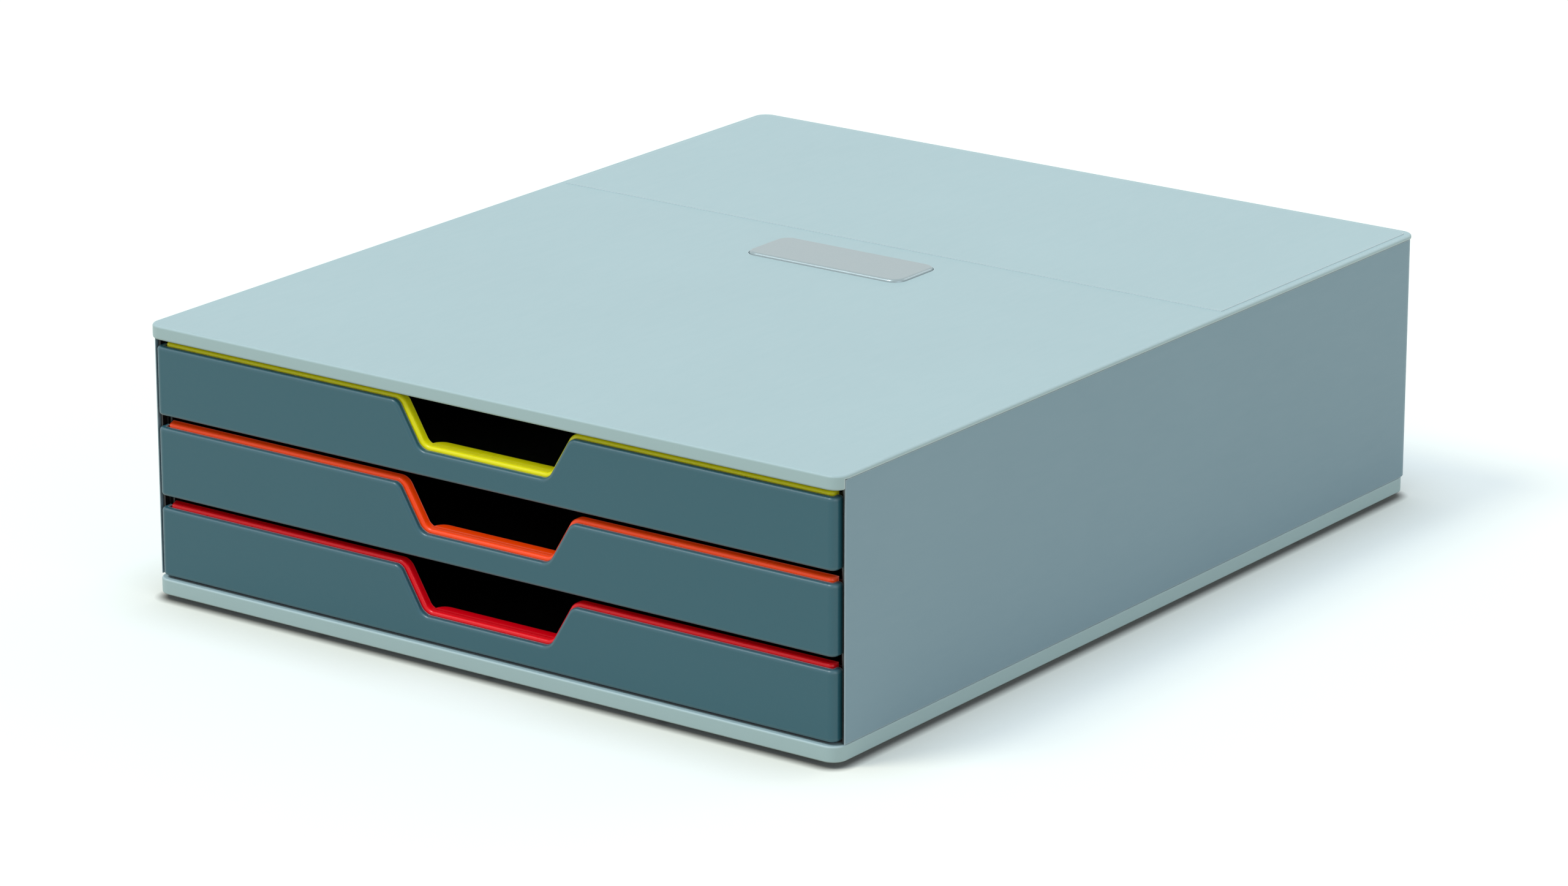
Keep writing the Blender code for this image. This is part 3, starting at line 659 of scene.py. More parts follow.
@dataclass
class TopCover:
    """The pale cover: a thin top with a front band, a raised rear pad and a pocket for the badge plate."""

    corner: float = 0.0055
    edge: float = 0.0013
    wall: float = 0.0018
    fillet: float = 0.0008
    band_depth: float = 0.0035
    band_fillet: float = 0.0008
    pad_setback: float = 0.2290
    pad_rise: float = 0.0003
    pad_margin: float = 0.0020
    badge_corner: float = 0.0050
    badge_bevel: float = 0.0012
    seam: float = 0.0003
    skirt: float = 0.0018
    ribs: int = 3
    rib_wall: float = 0.0014
    rib_drop: float = 0.0020

    def __post_init__(self) -> None:
        """Read the cover's and the badge's boxes from the frame."""
        self.low, self.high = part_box("top_cover")
        self.badge_low, self.badge_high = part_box("badge_plate")
        self.top = self.high.z - self.pad_rise
        self.underside = self.top - self.edge

    def build(self, shop: Workshop) -> None:
        """Model the cover and its badge plate and hand them to the workshop.

        Args:
            shop: Finishes the shapes and sets them in the frame.
        """
        shell = bmesh.new()
        self.add_plate(shell)
        self.add_band(shell)
        self.add_pad(shell)
        self.cut_pocket(shell)
        self.add_stiffeners(shell)
        shop.piece("cover_shell", shell, COVER_PLASTIC, "housing", ["top_cover"])
        shop.piece("blank_badge", self.badge(), BADGE_PAINT, "housing", ["badge_plate"])

    def add_plate(self, work: BMesh) -> None:
        """The flat top with its rim rolled over.

        Args:
            work: The bmesh that takes it.
        """
        plan = rectangle(self.low.x, self.low.y, self.high.x, self.high.y, self.corner)
        prism(work, plan, Plane.PLAN, self.underside, self.top)
        round_edges(work, self.fillet, RIM_SEGMENTS, lambda edge: parts(edge, faces_up, is_upright))

    def add_band(self, work: BMesh) -> None:
        """The deeper band along the front, which turns both front corners.

        Args:
            work: The shape that is changed.
        """
        seat = self.low.y + self.band_depth
        split(work, [face for face in work.faces if faces_down(face)], ALONG_Y, seat)
        work.normal_update()
        strip = [face for face in work.faces if faces_down(face) and face.calc_center_median().y < seat]
        push_faces(work, strip, self.low.z - self.underside)
        bmesh.ops.dissolve_limit(work, angle_limit=FLAT, verts=work.verts, edges=work.edges)
        round_edges(work, self.band_fillet, RIM_SEGMENTS, lambda edge: parts(edge, faces_down, is_upright)
                    and max(vert.co.z for vert in edge.verts) < self.underside - self.edge)

    def add_pad(self, work: BMesh) -> None:
        """The rear field of the top, a hair higher than the front field.

        Args:
            work: The shape that is changed.
        """
        start = self.low.y + self.pad_setback
        top = [face for face in work.faces if faces_up(face)]
        split(work, top, ALONG_Y, start - self.pad_margin)
        work.normal_update()
        rear = max((face for face in work.faces if faces_up(face)), key=lambda face: face.calc_center_median().y)
        bmesh.ops.inset_region(work, faces=[rear], thickness=self.pad_margin, use_even_offset=True)
        push_faces(work, [rear], self.pad_rise)

    def cut_pocket(self, work: BMesh) -> None:
        """The shallow pocket that the badge plate lies in.

        Args:
            work: The shape that is changed.
        """
        work.normal_update()
        field_face = max((face for face in work.faces if faces_up(face)), key=lambda face: face.calc_area())
        rim = list(field_face.edges)
        bmesh.ops.delete(work, geom=[field_face], context="FACES_ONLY")
        pocket = outline(work, rectangle(
            self.badge_low.x - self.seam, self.badge_low.y - self.seam, self.badge_high.x + self.seam,
            self.badge_high.y + self.seam, self.badge_corner + self.seam), Plane.PLAN, self.top)
        mouth = list(pocket.edges)
        push_faces(work, [pocket], self.badge_low.z - self.seam - self.top)
        bmesh.ops.triangle_fill(work, use_beauty=True, edges=rim + mouth, normal=(0, 0, 1))

    def add_stiffeners(self, work: BMesh) -> None:
        """The skirt inside the walls and the ribs under the top.

        Args:
            work: The bmesh that takes it.
        """
        roof = self.underside + self.edge / 2
        _, frame_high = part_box("right_runner_frame")
        outside = frame_high.x
        front = self.low.y + self.band_depth / 2
        back = frame_high.y
        for side in (-1, 1):
            ends = sorted((side * outside, side * (outside - self.skirt)))
            block(work, Vector((ends[0], front, self.low.z)), Vector((ends[1], back, roof)))
        reach = outside - self.skirt / 2
        block(work, Vector((-reach, back - self.skirt, self.low.z)), Vector((reach, back, roof)))
        block(work, Vector((-reach, front, self.top - self.wall)), Vector((reach, back - self.skirt / 2, roof)))
        spacing = 2 * (outside - self.skirt) / (self.ribs + 1)
        for index in range(self.ribs):
            x = self.skirt - outside + spacing * (index + 1)
            block(work, Vector((x - self.rib_wall / 2, front, self.top - self.wall - self.rib_drop)),
                  Vector((x + self.rib_wall / 2, back - self.skirt / 2, roof)))

    def badge(self) -> BMesh:
        """The blank plate, with a broad rolled bevel.

        Returns:
            The shape in a bmesh of its own.
        """
        work = bmesh.new()
        plan = rectangle(self.badge_low.x, self.badge_low.y, self.badge_high.x, self.badge_high.y,
                         self.badge_corner)
        prism(work, plan, Plane.PLAN, self.badge_low.z, self.badge_high.z)
        round_edges(work, self.badge_bevel, RIM_SEGMENTS, lambda edge: parts(edge, faces_up, is_upright))
        return work


@dataclass
class Walls:
    """The side panels, which turn the rear corners, and the rear panel between them."""

    wall: float = 0.0018
    corner: float = 0.0051
    lip: float = 0.0005
    rabbet: float = 0.0060
    lip_round: float = 0.0002
    ease: float = 0.0002
    seam: float = 0.0003

    def build(self, shop: Workshop) -> None:
        """Model the three walls and hand them to the workshop.

        Args:
            shop: Finishes the shapes and sets them in the frame.
        """
        for side, name in ((1, "right"), (-1, "left")):
            shop.piece(f"{name}_wall_sheet", self.side(side), WALL_PLASTIC, "housing", [f"{name}_side_panel"])
        shop.piece("rear_wall_sheet", self.rear(), WALL_PLASTIC, "housing", ["rear_panel"])

    def side(self, side: int) -> BMesh:
        """One side panel, with a rounded rear corner and a thin front lip that hides the runner frame's edge.

        Args:
            side: 1 for the right panel and -1 for the left one.

        Returns:
            The shape in a bmesh of its own.
        """
        low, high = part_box("right_side_panel")
        step = low.y + self.rabbet
        work = bmesh.new()
        prism(work, [
            Corner(high.x, low.y, self.lip_round), Corner(high.x, high.y, self.corner), Corner(low.x, high.y),
            Corner(low.x, high.y - self.wall),
            Corner(high.x - self.wall, high.y - self.wall, self.corner - self.wall),
            Corner(high.x - self.wall, step), Corner(high.x - self.lip, step),
            Corner(high.x - self.lip, low.y, self.lip_round),
        ], Plane.PLAN, low.z, high.z)
        round_edges(work, self.ease, EASE_SEGMENTS, is_crease)
        bmesh.ops.scale(work, verts=work.verts, vec=(side, 1, 1))
        return work

    def rear(self) -> BMesh:
        """The rear panel: a field flush with the side panels' returns and a tongue behind them.

        Returns:
            The shape in a bmesh of its own.
        """
        low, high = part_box("rear_panel")
        field_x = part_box("right_side_panel")[0].x - self.seam
        step = high.y - self.wall - self.seam
        work = bmesh.new()
        prism(work, [
            Corner(low.x, low.y), Corner(high.x, low.y), Corner(high.x, step), Corner(field_x, step),
            Corner(field_x, high.y), Corner(-field_x, high.y), Corner(-field_x, step), Corner(low.x, step),
        ], Plane.PLAN, low.z, high.z)
        round_edges(work, self.ease, EASE_SEGMENTS, is_crease)
        return work


@dataclass
class Base:
    """The pale base plate with its rim, ribs and bosses, its rubber feet and its screws."""

    corner: float = 0.0055
    rim: float = 0.0026
    plate: float = 0.0020
    fillet: float = 0.0006
    ribs_across: int = 4
    ribs_along: int = 3
    rib_wall: float = 0.0014
    rib_drop: float = 0.0024
    foot_boss_wall: float = 0.0018
    seam: float = 0.0003
    foot_edge: float = 0.0004
    groove: float = 0.0003
    groove_shares: tuple[float, ...] = (0.35, 0.42, 0.65, 0.72)
    round_steps: int = 48

    def build(self, shop: Workshop) -> None:
        """Model the base and its feet, dress its screws and hand them to the workshop.

        Args:
            shop: Finishes the shapes and sets them in the frame.
        """
        feet = [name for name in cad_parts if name.startswith("foot_")]
        shop.piece("base_tray", self.base(feet), COVER_PLASTIC, "housing", ["base_plate"])
        for name in feet:
            shop.piece(name + "_turned", self.foot(name), FOOT_RUBBER, "housing", [name])
        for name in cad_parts:
            if name.startswith("base_screw_"):
                shop.dress(name, SCREW_STEEL)

    def base(self, feet: Sequence[str]) -> BMesh:
        """The base plate, hollow below, with its ribs and the bosses round the feet.

        Args:
            feet: The names of the feet's CAD nodes.

        Returns:
            The shape in a bmesh of its own.
        """
        low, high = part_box("base_plate")
        ceiling = high.z - self.plate
        work = bmesh.new()
        prism(work, rectangle(low.x, low.y, high.x, high.y, self.corner), Plane.PLAN, low.z, high.z)
        round_edges(work, self.fillet, RIM_SEGMENTS, lambda edge: parts(
            edge, lambda face: faces_up(face) or faces_down(face), is_upright))
        bottom = max((face for face in work.faces if faces_down(face)), key=lambda face: face.calc_area())
        bmesh.ops.inset_region(work, faces=[bottom], thickness=self.rim - self.fillet, use_even_offset=True)
        push_faces(work, [bottom], ceiling - low.z)
        inner_low = low + Vector((self.rim, self.rim, 0)) / 2
        inner_high = high - Vector((self.rim, self.rim, 0)) / 2
        rib_bottom = ceiling - self.rib_drop
        sunk = ceiling + self.plate / 2
        half = self.rib_wall / 2
        for axis, count in ((0, self.ribs_along), (1, self.ribs_across)):
            for index in range(count):
                place = low[axis] + (high[axis] - low[axis]) * (index + 1) / (count + 1)
                start, end = Vector((*inner_low.xy, rib_bottom)), Vector((*inner_high.xy, sunk))
                start[axis], end[axis] = place - half, place + half
                block(work, start, end)
        for name in feet:
            foot_low, foot_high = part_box(name)
            pocket = (foot_high.x - foot_low.x) / 2 + self.seam
            boss = pocket + self.foot_boss_wall
            turned(work, [(0, foot_high.z + self.seam), (pocket, foot_high.z + self.seam),
                          (pocket, low.z + self.fillet), (boss, low.z + self.fillet), (boss, sunk), (0, sunk)],
                   foot_of(name), self.round_steps)
        return work

    def foot(self, name: str) -> BMesh:
        """A turned rubber foot with a rounded edge and two grooves in its sole.

        Args:
            name: The foot's CAD node.

        Returns:
            The shape in a bmesh of its own.
        """
        low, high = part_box(name)
        radius = (high.x - low.x) / 2
        rings = [share * radius for share in self.groove_shares]
        sole = [(0, 0)]
        for inner, outer in zip(rings[::2], rings[1::2]):
            sole += [(inner, 0), (inner, self.groove), (outer, self.groove), (outer, 0)]
        work = bmesh.new()
        turned(work, sole + [(radius - self.foot_edge, 0), (radius, self.foot_edge), (radius, high.z),
                             (0, high.z)], foot_of(name), self.round_steps)
        return work


@dataclass(frozen=True)
class Stop:
    """The small block, on a tray's side or on a runner frame's wall, that ends a drawer's travel."""

    proud: float = 0.0013
    setback: float = 0.0030
    length: float = 0.0030
    height: float = 0.0060

    def add(self, work: BMesh, ends: tuple[float, float], start: float, middle: float) -> None:
        """Add the block to a shape.

        Args:
            work: The shape that takes it.
            ends: Where it starts and ends across the width.
            start: Where it starts along the depth.
            middle: The height of its middle.
        """
        block(work, Vector((min(ends), start, middle - self.height / 2)),
              Vector((max(ends), start + self.length, middle + self.height / 2)))


@dataclass
class Drawer:
    """One drawer: the anthracite front, the coloured lip behind it and the black tray.

    Heights and depths are measured from the middle of the front's lower edge.
    """

    name: str
    lip_finish: Finish
    front_wall: float = 0.0022
    front_round: float = 0.0028
    front_return: float = 0.0048
    front_fillet: float = 0.0012
    cut_top_half: float = 0.0366
    cut_bottom_half: float = 0.0271
    cut_depth: float = 0.0158
    cut_top_round: float = 0.0035
    cut_bottom_round: float = 0.0050
    peg_radius: float = 0.0020
    peg_height: float = 0.0120
    peg_cut_clearance: float = 0.0225
    peg_end_inset: float = 0.0145
    lip_proud: float = 0.0013
    lip_wall: float = 0.0034
    lip_ease: float = 0.0004
    lip_end_round: float = 0.0022
    lip_rim_round: float = 0.0012
    scoop_flat: float = 0.0068
    scoop_run: float = 0.0012
    scoop_drop: float = 0.0010
    scoop_wall: float = 0.0016
    scoop_corner: float = 0.0045
    scoop_sink: float = 0.00003
    tray_wall: float = 0.0018
    tray_step: float = 0.0042
    tray_shelf: float = 0.0060
    tray_corner: float = 0.0050
    tray_ease: float = 0.0005
    notch_margin: float = 0.0010
    travel: float = 0.2535
    stop: Stop = Stop()
    stake_radius: float = 0.0032
    stake_height: float = 0.0008
    stake_shoulder_share: float = 0.8
    stake_rise_share: float = 0.6
    stake_crown_share: float = 0.45
    seam: float = 0.0003
    peg_sides: int = 24

    def __post_init__(self) -> None:
        """Read the boxes of the drawer's three nodes and set its own origin."""
        self.body = self.name + "_drawer"
        self.front_low, self.front_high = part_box(self.name + "_front")
        self.lip_low, self.lip_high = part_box(self.name + "_lip")
        self.tray_low, self.tray_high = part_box(self.name + "_tray")
        self.origin = Vector((0, self.front_low.y, self.front_low.z))
        self.height = self.front_high.z - self.front_low.z
        self.half = self.front_high.x
        self.lip_front = self.lip_low.y - self.origin.y

    def build(self, shop: Workshop) -> None:
        """Model the three mouldings and hand them to the workshop.

        Args:
            shop: Finishes the shapes and sets them in the frame.
        """
        for part, work, finish in (("front", self.front(), FRONT_PLASTIC), ("lip", self.lip(), self.lip_finish),
                                   ("tray", self.tray(), TRAY_PLASTIC)):
            bmesh.ops.translate(work, verts=work.verts, vec=self.origin)
            shop.piece(f"{self.name}_{part}_moulding", work, finish, self.body, [f"{self.name}_{part}"])

    def notched(self, half: float, bottom: float, offset: float, radius: float) -> list[Corner]:
        """An upright plate's outline with the finger cut-out in its upper edge, all moved out by an offset.

        Args:
            half: Half the plate's width.
            bottom: The height of its lower edge.
            offset: How far it stands out past the front's own outline.
            radius: The radius of its corners.

        Returns:
            The corners in order.
        """
        slope = (self.cut_top_half - self.cut_bottom_half) / self.cut_depth
        shift = offset * math.hypot(1, slope)
        top = self.height + offset
        cut_bottom = self.height - self.cut_depth + offset
        bottom_half = self.cut_bottom_half + slope * offset - shift
        top_half = self.cut_bottom_half + slope * (top - self.height + self.cut_depth) - shift
        outer, inner = self.cut_top_round + offset, self.cut_bottom_round - offset
        return [
            Corner(-half, bottom, radius), Corner(half, bottom, radius), Corner(half, top, radius),
            Corner(top_half, top, outer), Corner(bottom_half, cut_bottom, inner),
            Corner(-bottom_half, cut_bottom, inner), Corner(-top_half, top, outer),
            Corner(-half, top, radius),
        ]

    def is_outside(self, face: BMFace) -> bool:
        """Whether a face is the front's own face, one of its rounded corners or one of its ends."""
        inside = self.half - self.front_wall
        return face.normal.y < -math.sin(FLAT) or face.normal.x * face.calc_center_median().x > inside

    def front(self) -> BMesh:
        """The face with its ends turned back, its rim rolled over and pegs on its back.

        Returns:
            The shape in a bmesh of its own.
        """
        work = bmesh.new()
        face = outline(work, self.notched(self.half, 0, 0, 0), Plane.FRONT, 0)
        ends = [edge for edge in face.edges if abs(edge.verts[0].co.x - edge.verts[1].co.x) < WELD
                and abs(edge.verts[0].co.x) > self.half - WELD]
        made = bmesh.ops.extrude_edge_only(work, edges=ends)["geom"]
        bmesh.ops.translate(work, verts=[part for part in made if isinstance(part, BMVert)],
                            vec=(0, self.front_return, 0))
        round_edges(work, self.front_round, ARC_SEGMENTS, lambda edge: True)
        bmesh.ops.recalc_face_normals(work, faces=work.faces)
        if sum(face.normal.y * face.calc_area() for face in work.faces) > 0:
            bmesh.ops.reverse_faces(work, faces=work.faces)
        bmesh.ops.solidify(work, geom=work.faces[:], thickness=self.front_wall)
        bmesh.ops.recalc_face_normals(work, faces=work.faces)
        round_edges(work, self.front_fillet, RIM_SEGMENTS, lambda edge: (
            self.is_outside(edge.link_faces[0]) != self.is_outside(edge.link_faces[1])
            and all(self.is_outside(face) or abs(face.normal.y) < math.sin(FLAT) for face in edge.link_faces)))
        end = self.front_high.y - self.origin.y
        head = end - self.stake_height
        for x in (self.cut_top_half + self.peg_cut_clearance,
                  self.tray_high.x - self.stop.proud - self.peg_end_inset):
            for side in (-1, 1):
                turned(work, [(0, self.front_wall / 2), (self.peg_radius, self.front_wall / 2),
                              (self.peg_radius, head), (self.stake_radius, head),
                              (self.stake_radius * self.stake_shoulder_share,
                               head + self.stake_height * self.stake_rise_share),
                              (self.stake_radius * self.stake_crown_share, end), (0, end)],
                       Vector((side * x, 0, self.peg_height)), self.peg_sides, ALONG_Y)
        return work

    def lip(self) -> BMesh:
        """The coloured plate, which stands proud of the front and has a shelf behind the cut-out.

        Returns:
            The shape in a bmesh of its own.
        """
        work = bmesh.new()
        bottom = self.lip_low.z - self.origin.z
        half = self.lip_high.x
        prism(work, self.notched(half, bottom, self.lip_proud, 0), Plane.FRONT,
              self.lip_front, self.lip_front + self.lip_wall)
        round_edges(work, self.lip_end_round, ARC_SEGMENTS, lambda edge: all(
            abs(vert.co.x) > half - WELD and vert.co.y < self.lip_front + WELD for vert in edge.verts)
            and abs(edge.verts[0].co.x - edge.verts[1].co.x) < WELD)
        round_edges(work, self.lip_rim_round, RIM_SEGMENTS, lambda edge: parts(
            edge, lambda face: face.normal.y < -math.sin(LEVEL) and is_upright(face), self.is_over))
        self.add_shelf(work)
        round_edges(work, self.lip_ease, EASE_SEGMENTS, is_crease)
        return work

    def is_over(self, face: BMFace) -> bool:
        """Whether a face belongs to a plate's upper rim, the cut-out's slopes included."""
        return face.normal.z > math.sin(LEVEL) and abs(face.normal.y) < math.sin(LEVEL)

    def add_shelf(self, work: BMesh) -> None:
        """The shelf behind the cut-out, with rounded rear corners and a rolled rear edge.

        Args:
            work: The bmesh that takes it.
        """
        level = self.height - self.cut_depth + self.lip_proud - self.scoop_sink
        end = self.lip_front + self.scoop_flat + self.scoop_run
        reach = self.cut_bottom_half - self.lip_proud / 2
        plan = rectangle(-reach, self.lip_front + self.lip_wall / 2, reach, end)
        plan[2:] = [Corner(reach, end, self.scoop_corner), Corner(-reach, end, self.scoop_corner)]
        prism(work, plan, Plane.PLAN, level - self.scoop_wall, level)
        behind = self.lip_front + self.lip_wall + WELD
        round_edges(work, self.scoop_drop, RIM_SEGMENTS, lambda edge: parts(edge, faces_up, is_upright) and all(
            abs(vert.co.z - level) < WELD for vert in edge.verts) and any(
            vert.co.y > behind for vert in edge.verts))

    def tray(self) -> BMesh:
        """The black tray: a stepped tub with a notch in its front wall and a stop on each side.

        Returns:
            The shape in a bmesh of its own.
        """
        front, back = self.tray_low.y - self.origin.y, self.tray_high.y - self.origin.y
        bottom, top = self.tray_low.z - self.origin.z, self.tray_high.z - self.origin.z
        half = self.tray_high.x - self.stop.proud
        lower = half - self.tray_shelf
        shelf = bottom + self.tray_step
        work = bmesh.new()
        prism(work, rectangle(-half, front, half, back, self.tray_corner), Plane.PLAN, shelf, top)
        work.normal_update()
        mouth = max((face for face in work.faces if faces_up(face)), key=lambda face: face.calc_area())
        self.deepen(work, [face for face in work.faces if faces_down(face)], lower, bottom - shelf)
        bmesh.ops.inset_region(work, faces=[mouth], thickness=self.tray_wall, use_even_offset=True)
        ledge = push_faces(work, [mouth], shelf + self.tray_wall - top)
        self.deepen(work, ledge, lower - self.tray_wall, bottom - shelf)
        bmesh.ops.dissolve_limit(work, angle_limit=FLAT, verts=work.verts, edges=work.edges)
        self.notch_wall(work, front)
        round_edges(work, self.tray_ease, RIM_SEGMENTS, is_crease)
        middle = (shelf + top) / 2
        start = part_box("right_runner_frame")[0].y + self.stop.setback - self.origin.y + self.travel
        for side in (-1, 1):
            self.stop.add(work, (side * (half - self.tray_wall / 2), side * self.tray_high.x), start, middle)
        return work

    def deepen(self, work: BMesh, faces: Sequence[BMFace], half: float, step: float) -> None:
        """Move the middle of some level faces up or down by a step, out to a half width on each side.

        Args:
            work: The shape that is changed.
            faces: Faces of the level that is moved.
            half: Half the width of the part that moves.
            step: How far up, or down below 0.
        """
        level = faces[0].calc_center_median().z
        for side in (-1, 1):
            near = [face for face in work.faces if abs(face.normal.z) > math.cos(LEVEL)
                    and abs(face.calc_center_median().z - level) < WELD]
            split(work, near, ALONG_X, side * half)
            work.normal_update()
        middle = [face for face in work.faces if abs(face.normal.z) > math.cos(LEVEL)
                  and abs(face.calc_center_median().z - level) < WELD
                  and all(abs(vert.co.x) < half + WELD for vert in face.verts)]
        push_faces(work, middle, step)

    def notch_wall(self, work: BMesh, front: float) -> None:
        """Cut the notch behind the finger cut-out into the tray's front wall.

        Args:
            work: The shape that is changed.
            front: Where the front wall starts along the depth.
        """
        half = self.cut_top_half + self.notch_margin
        bottom = self.height - self.cut_depth + self.lip_proud - self.scoop_wall - self.seam
        back = front + self.tray_wall

        def in_wall(face: BMFace) -> bool:
            """Whether a face belongs to the upper part of the front wall."""
            return (all(vert.co.y < back + WELD for vert in face.verts)
                    or (faces_up(face) and min(vert.co.y for vert in face.verts) < front + WELD))

        for side in (-1, 1):
            split(work, filter(in_wall, work.faces[:]), ALONG_X, side * half)
        split(work, filter(in_wall, work.faces[:]), ALONG_Z, bottom)
        opened = [face for face in work.faces if in_wall(face) and all(
            abs(vert.co.x) < half + WELD and vert.co.z > bottom - WELD for vert in face.verts)]
        bmesh.ops.delete(work, geom=opened, context="FACES")
        open_edges = [edge for edge in work.edges if edge.is_boundary]
        chains = [edge for edge in open_edges if abs(edge.verts[0].co.y - edge.verts[1].co.y) < WELD]
        bmesh.ops.bridge_loops(work, edges=chains)
        bmesh.ops.recalc_face_normals(work, faces=work.faces)


@dataclass
class Runners:
    """The two inner frames that carry the drawers: a wall with a ledge, a guide and a stop for each drawer."""

    wall: float = 0.0018
    ledge_wall: float = 0.0020
    ledge_below_tray: float = 0.0003
    tray_step: float = 0.0042
    guide_wall: float = 0.0015
    guide_lap: float = 0.0030
    guide_clearance: float = 0.0005
    tray_clearance: float = 0.0018
    stop: Stop = Stop()
    boss_radius: float = 0.0032
    screw_clearance: float = 0.0003
    screw_radius: float = 0.0015
    flange_out: float = 0.0008
    flange_gap: float = 0.0004
    flange_setback: float = 0.0010
    flange_lap: float = 0.0023
    ease: float = 0.0003
    boss_steps: int = 32

    def build(self, shop: Workshop) -> None:
        """Model both frames and hand them to the workshop.

        Args:
            shop: Finishes the shapes and sets them in the frame.
        """
        for side, name in ((1, "right"), (-1, "left")):
            work = self.shape()
            bmesh.ops.scale(work, verts=work.verts, vec=(side, 1, 1))
            shop.piece(f"{name}_runner_moulding", work, TRAY_PLASTIC, "housing", [f"{name}_runner_frame"])

    def shape(self) -> BMesh:
        """The right frame.

        Returns:
            The shape in a bmesh of its own.
        """
        low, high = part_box("right_runner_frame")
        inner = high.x - self.wall
        guide_x = inner - self.tray_clearance - self.guide_lap
        trays = [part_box(name + "_tray") for name in ("top", "middle", "bottom")]
        section = [Corner(high.x, low.z), Corner(high.x, high.z), Corner(inner, high.z)]
        for tray_low, tray_high in trays:
            guide = tray_high.z + self.guide_clearance
            ledge = tray_low.z + self.tray_step - self.ledge_below_tray
            section += [
                Corner(inner, guide + self.guide_wall), Corner(guide_x, guide + self.guide_wall),
                Corner(guide_x, guide), Corner(inner, guide),
                Corner(inner, ledge), Corner(low.x, ledge),
                Corner(low.x, ledge - self.ledge_wall), Corner(inner, ledge - self.ledge_wall),
            ]
        work = bmesh.new()
        prism(work, section + [Corner(inner, low.z)], Plane.FRONT, low.y, high.y)
        round_edges(work, self.ease, EASE_SEGMENTS, is_crease)
        for tray_low, tray_high in trays:
            middle = (tray_low.z + self.tray_step + tray_high.z) / 2
            self.stop.add(work, (inner - self.stop.proud, inner + self.wall / 2),
                          low.y + self.stop.setback, middle)
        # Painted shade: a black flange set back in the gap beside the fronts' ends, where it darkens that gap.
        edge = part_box("right_side_panel")[0].y + self.flange_setback
        flange = high.x + self.flange_gap
        lap = low.y + self.flange_lap
        prism(work, [
            Corner(high.x - self.wall / 2, low.y), Corner(flange, low.y), Corner(flange, edge),
            Corner(flange + self.flange_out, edge), Corner(flange + self.flange_out, lap),
            Corner(high.x - self.wall / 2, lap),
        ], Plane.PLAN, low.z, high.z)
        hole = self.screw_radius + self.screw_clearance
        roof = trays[-1][0].z + self.tray_step - self.ledge_below_tray - self.ledge_wall / 2
        for row in ("front", "middle", "rear"):
            turned(work, [(hole, low.z), (self.boss_radius, low.z), (self.boss_radius, roof), (hole, roof)],
                   foot_of(f"base_screw_{row}_right"), self.boss_steps)
        return work


@dataclass(frozen=True)
class Lamp:
    """A broad distant lamp: its power on a surface that faces it, its colour, its width and its light's way."""

    name: str
    level: float
    colour: str
    spread: float
    way: tuple[float, float, float]

    def build(self) -> None:
        """Set up the lamp."""
        light = bpy.data.lights.new(self.name, "SUN")
        light.energy = self.level
        light.color = linear(self.colour)[:3]
        light.angle = self.spread
        item = bpy.data.objects.new(self.name, light)
        item.rotation_euler = Vector(self.way).to_track_quat("-Z", "Y").to_euler()
        bpy.context.scene.collection.objects.link(item)


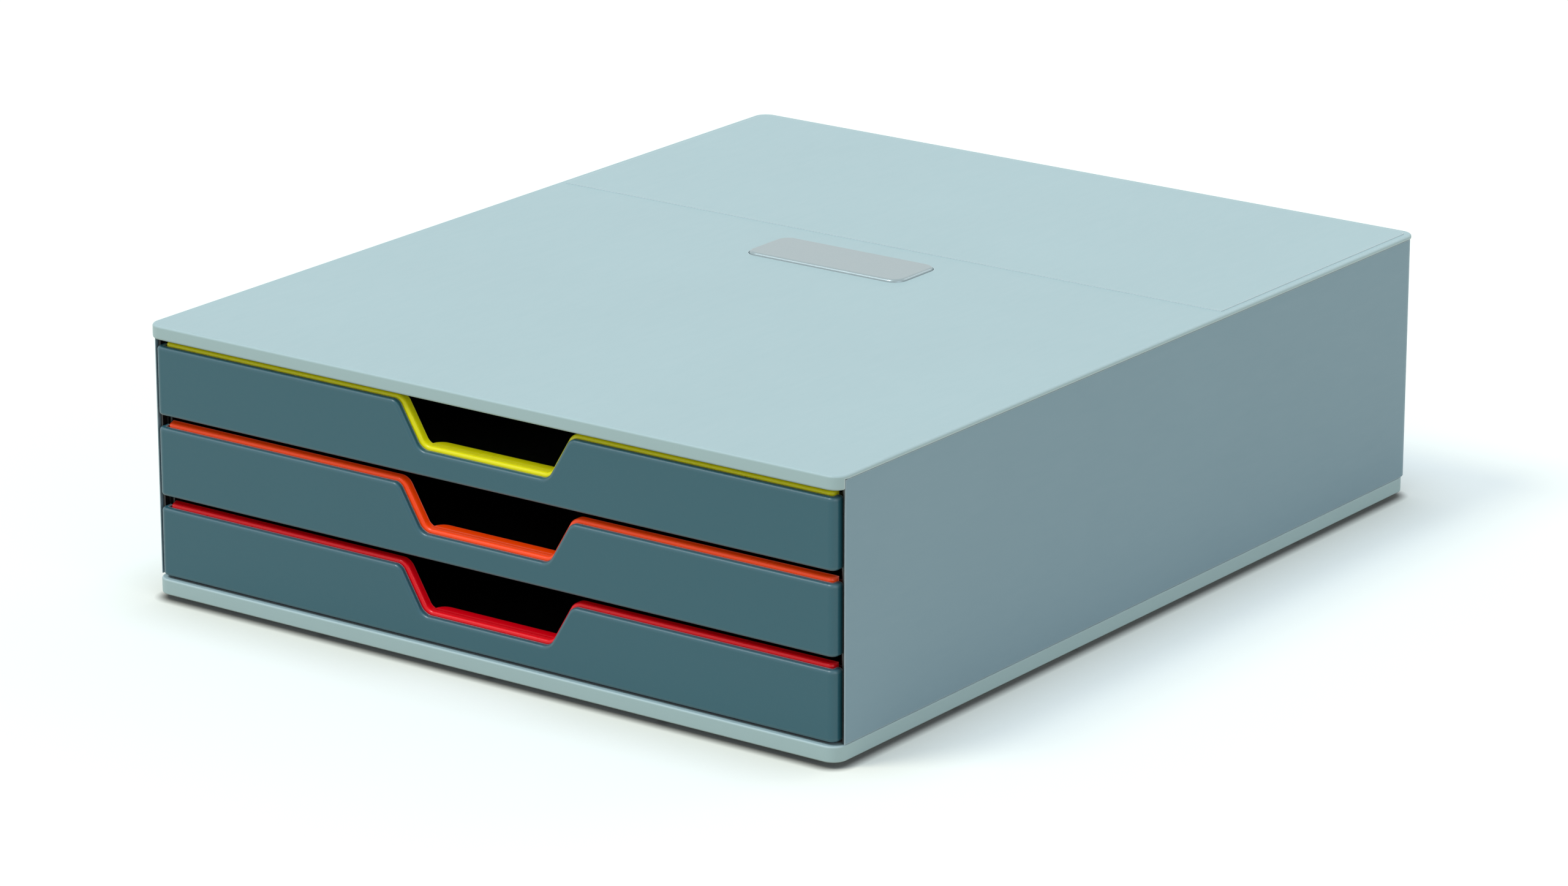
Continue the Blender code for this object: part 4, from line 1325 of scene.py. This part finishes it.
@dataclass
class Studio:
    """A white floor under soft light, and the camera at the photograph's viewing angle."""

    floor_reach: float = 12.0
    floor_colour: str = "#cbc5ae"
    painted_contact_shade: str = "#101312"
    floor_lift: float = 0.66
    floor_lift_colour: str = "#d7ecff"
    shade_reach: float = 0.035
    contact_reach: float = 0.004
    contact_power: float = 2.0
    shade_samples: int = 16
    sky_level: float = 0.50
    sky_colour: str = "#fdfffb"
    lamps: tuple[Lamp, ...] = (
        Lamp("key_light", 1.56, "#fafdff", math.radians(20), (0.20, 0.26, -0.50)),
        Lamp("fill_light", 0.50, "#e3efff", math.radians(40), (-0.90, 0.25, -0.35)),
        Lamp("back_light", 0.20, "#ffffff", math.radians(25), (-0.30, -0.77, -0.56)),
    )
    camera_place: tuple[float, float, float] = (1.23004, -1.69112, 0.69950)
    camera_turn: float = math.radians(36.16)
    camera_drop: float = math.radians(17.56)
    lens_mm: float = 142.4
    sensor_mm: float = 36.0
    near_clip: float = 0.01

    def build(self) -> None:
        """Set up the floor, the light, the sky and the camera."""
        self.add_floor()
        self.add_sky()
        for lamp in self.lamps:
            lamp.build()
        self.add_camera()
        bpy.context.scene.view_settings.view_transform = "Standard"

    def add_floor(self) -> None:
        """A wide floor that shows white to the camera, keeps the object's shadow and has painted shade near it.
        """
        work = bmesh.new()
        bmesh.ops.create_grid(work, x_segments=1, y_segments=1, size=self.floor_reach)
        mesh = bpy.data.meshes.new("studio_floor")
        work.to_mesh(mesh)
        work.free()
        material = bpy.data.materials.new("matt_white_paper")
        material.use_nodes = True
        tree = material.node_tree
        shader = tree.nodes["Principled BSDF"]
        shader.inputs["Roughness"].default_value = 1.0
        shader.inputs["Specular IOR Level"].default_value = 0.0
        shade, touch = (
            add_node(tree, "AmbientOcclusion", {"samples": self.shade_samples, "Distance": reach})
            for reach in (self.shade_reach, self.contact_reach))
        clear = add_node(tree, "Math", {"operation": "POWER", 1: self.contact_power}, {0: touch.outputs["AO"]})
        # Painted shade: the floor's colour turns near-black where ambient occlusion finds the object within the
        # contact reach.
        paper_and_painted_shade = add_node(tree, "Mix", {"data_type": "RGBA", 6: linear(self.painted_contact_shade),
                                       7: linear(self.floor_colour)}, {0: clear.outputs["Value"]})
        tree.links.new(paper_and_painted_shade.outputs[2], shader.inputs["Base Color"])
        lift = add_node(tree, "Math", {"operation": "MULTIPLY", 1: self.floor_lift}, {0: seen_by_eye(tree)})
        # Painted shade: the white lift is faded by both ambient occlusions near the object.
        soft = add_node(tree, "Math", {"operation": "MULTIPLY"},
                        {0: lift.outputs["Value"], 1: shade.outputs["AO"]})
        fade = add_node(tree, "Math", {"operation": "MULTIPLY"},
                        {0: soft.outputs["Value"], 1: clear.outputs["Value"]})
        painted_glow = add_node(tree, "Emission", {"Color": linear(self.floor_lift_colour)},
                        {"Strength": fade.outputs["Value"]})
        both = add_node(tree, "AddShader", {}, {0: shader.outputs["BSDF"], 1: painted_glow.outputs["Emission"]})
        tree.links.new(both.outputs["Shader"], tree.nodes["Material Output"].inputs["Surface"])
        mesh.materials.append(material)
        floor = bpy.data.objects.new("studio_floor", mesh)
        bpy.context.scene.collection.objects.link(floor)

    def add_sky(self) -> None:
        """Even light from all round, seen as white."""
        world = bpy.data.worlds.new("studio_sky")
        world.use_nodes = True
        bpy.context.scene.world = world
        tree = world.node_tree
        light = tree.nodes["Background"]
        light.inputs["Color"].default_value = linear(self.sky_colour)
        light.inputs["Strength"].default_value = self.sky_level
        white = add_node(tree, "Background", {"Color": (1.0, 1.0, 1.0, 1.0), "Strength": 1.0})
        mix = add_node(tree, "MixShader", {}, {0: seen_by_eye(tree), 1: light.outputs["Background"],
                                               2: white.outputs["Background"]})
        tree.links.new(mix.outputs["Shader"], tree.nodes["World Output"].inputs["Surface"])

    def add_camera(self) -> None:
        """The camera, level across, where a fit to the photograph's straight edges puts it."""
        lens = bpy.data.cameras.new("camera")
        lens.lens = self.lens_mm
        lens.sensor_width = self.sensor_mm
        lens.clip_start = self.near_clip
        item = bpy.data.objects.new("camera", lens)
        item.location = self.camera_place
        item.rotation_euler = (math.pi / 2 - self.camera_drop, 0, self.camera_turn)
        bpy.context.scene.collection.objects.link(item)
        bpy.context.scene.camera = item


def seen_by_eye(tree: NodeTree) -> NodeSocket:
    """1 where a ray comes from the camera, a mirror or a window, and 0 where it comes from a matt surface.

    Args:
        tree: The node tree that takes the nodes.

    Returns:
        The output that holds the value.
    """
    path = add_node(tree, "LightPath")
    two = add_node(tree, "Math", {"operation": "MAXIMUM"},
                   {0: path.outputs["Is Camera Ray"], 1: path.outputs["Is Glossy Ray"]})
    three = add_node(tree, "Math", {"operation": "MAXIMUM"},
                     {0: two.outputs["Value"], 1: path.outputs["Is Transmission Ray"]})
    return three.outputs["Value"]


def main() -> None:
    """Build every sub-assembly, then the studio."""
    logging.basicConfig(level=logging.INFO, format="%(name)s: %(message)s")
    shop = Workshop()
    TopCover().build(shop)
    Walls().build(shop)
    Base().build(shop)
    Runners().build(shop)
    for name, finish in (("bottom", LIP_RED), ("middle", LIP_ORANGE), ("top", LIP_YELLOW)):
        Drawer(name, finish).build(shop)
    Studio().build()


if __name__ == "__main__":
    main()
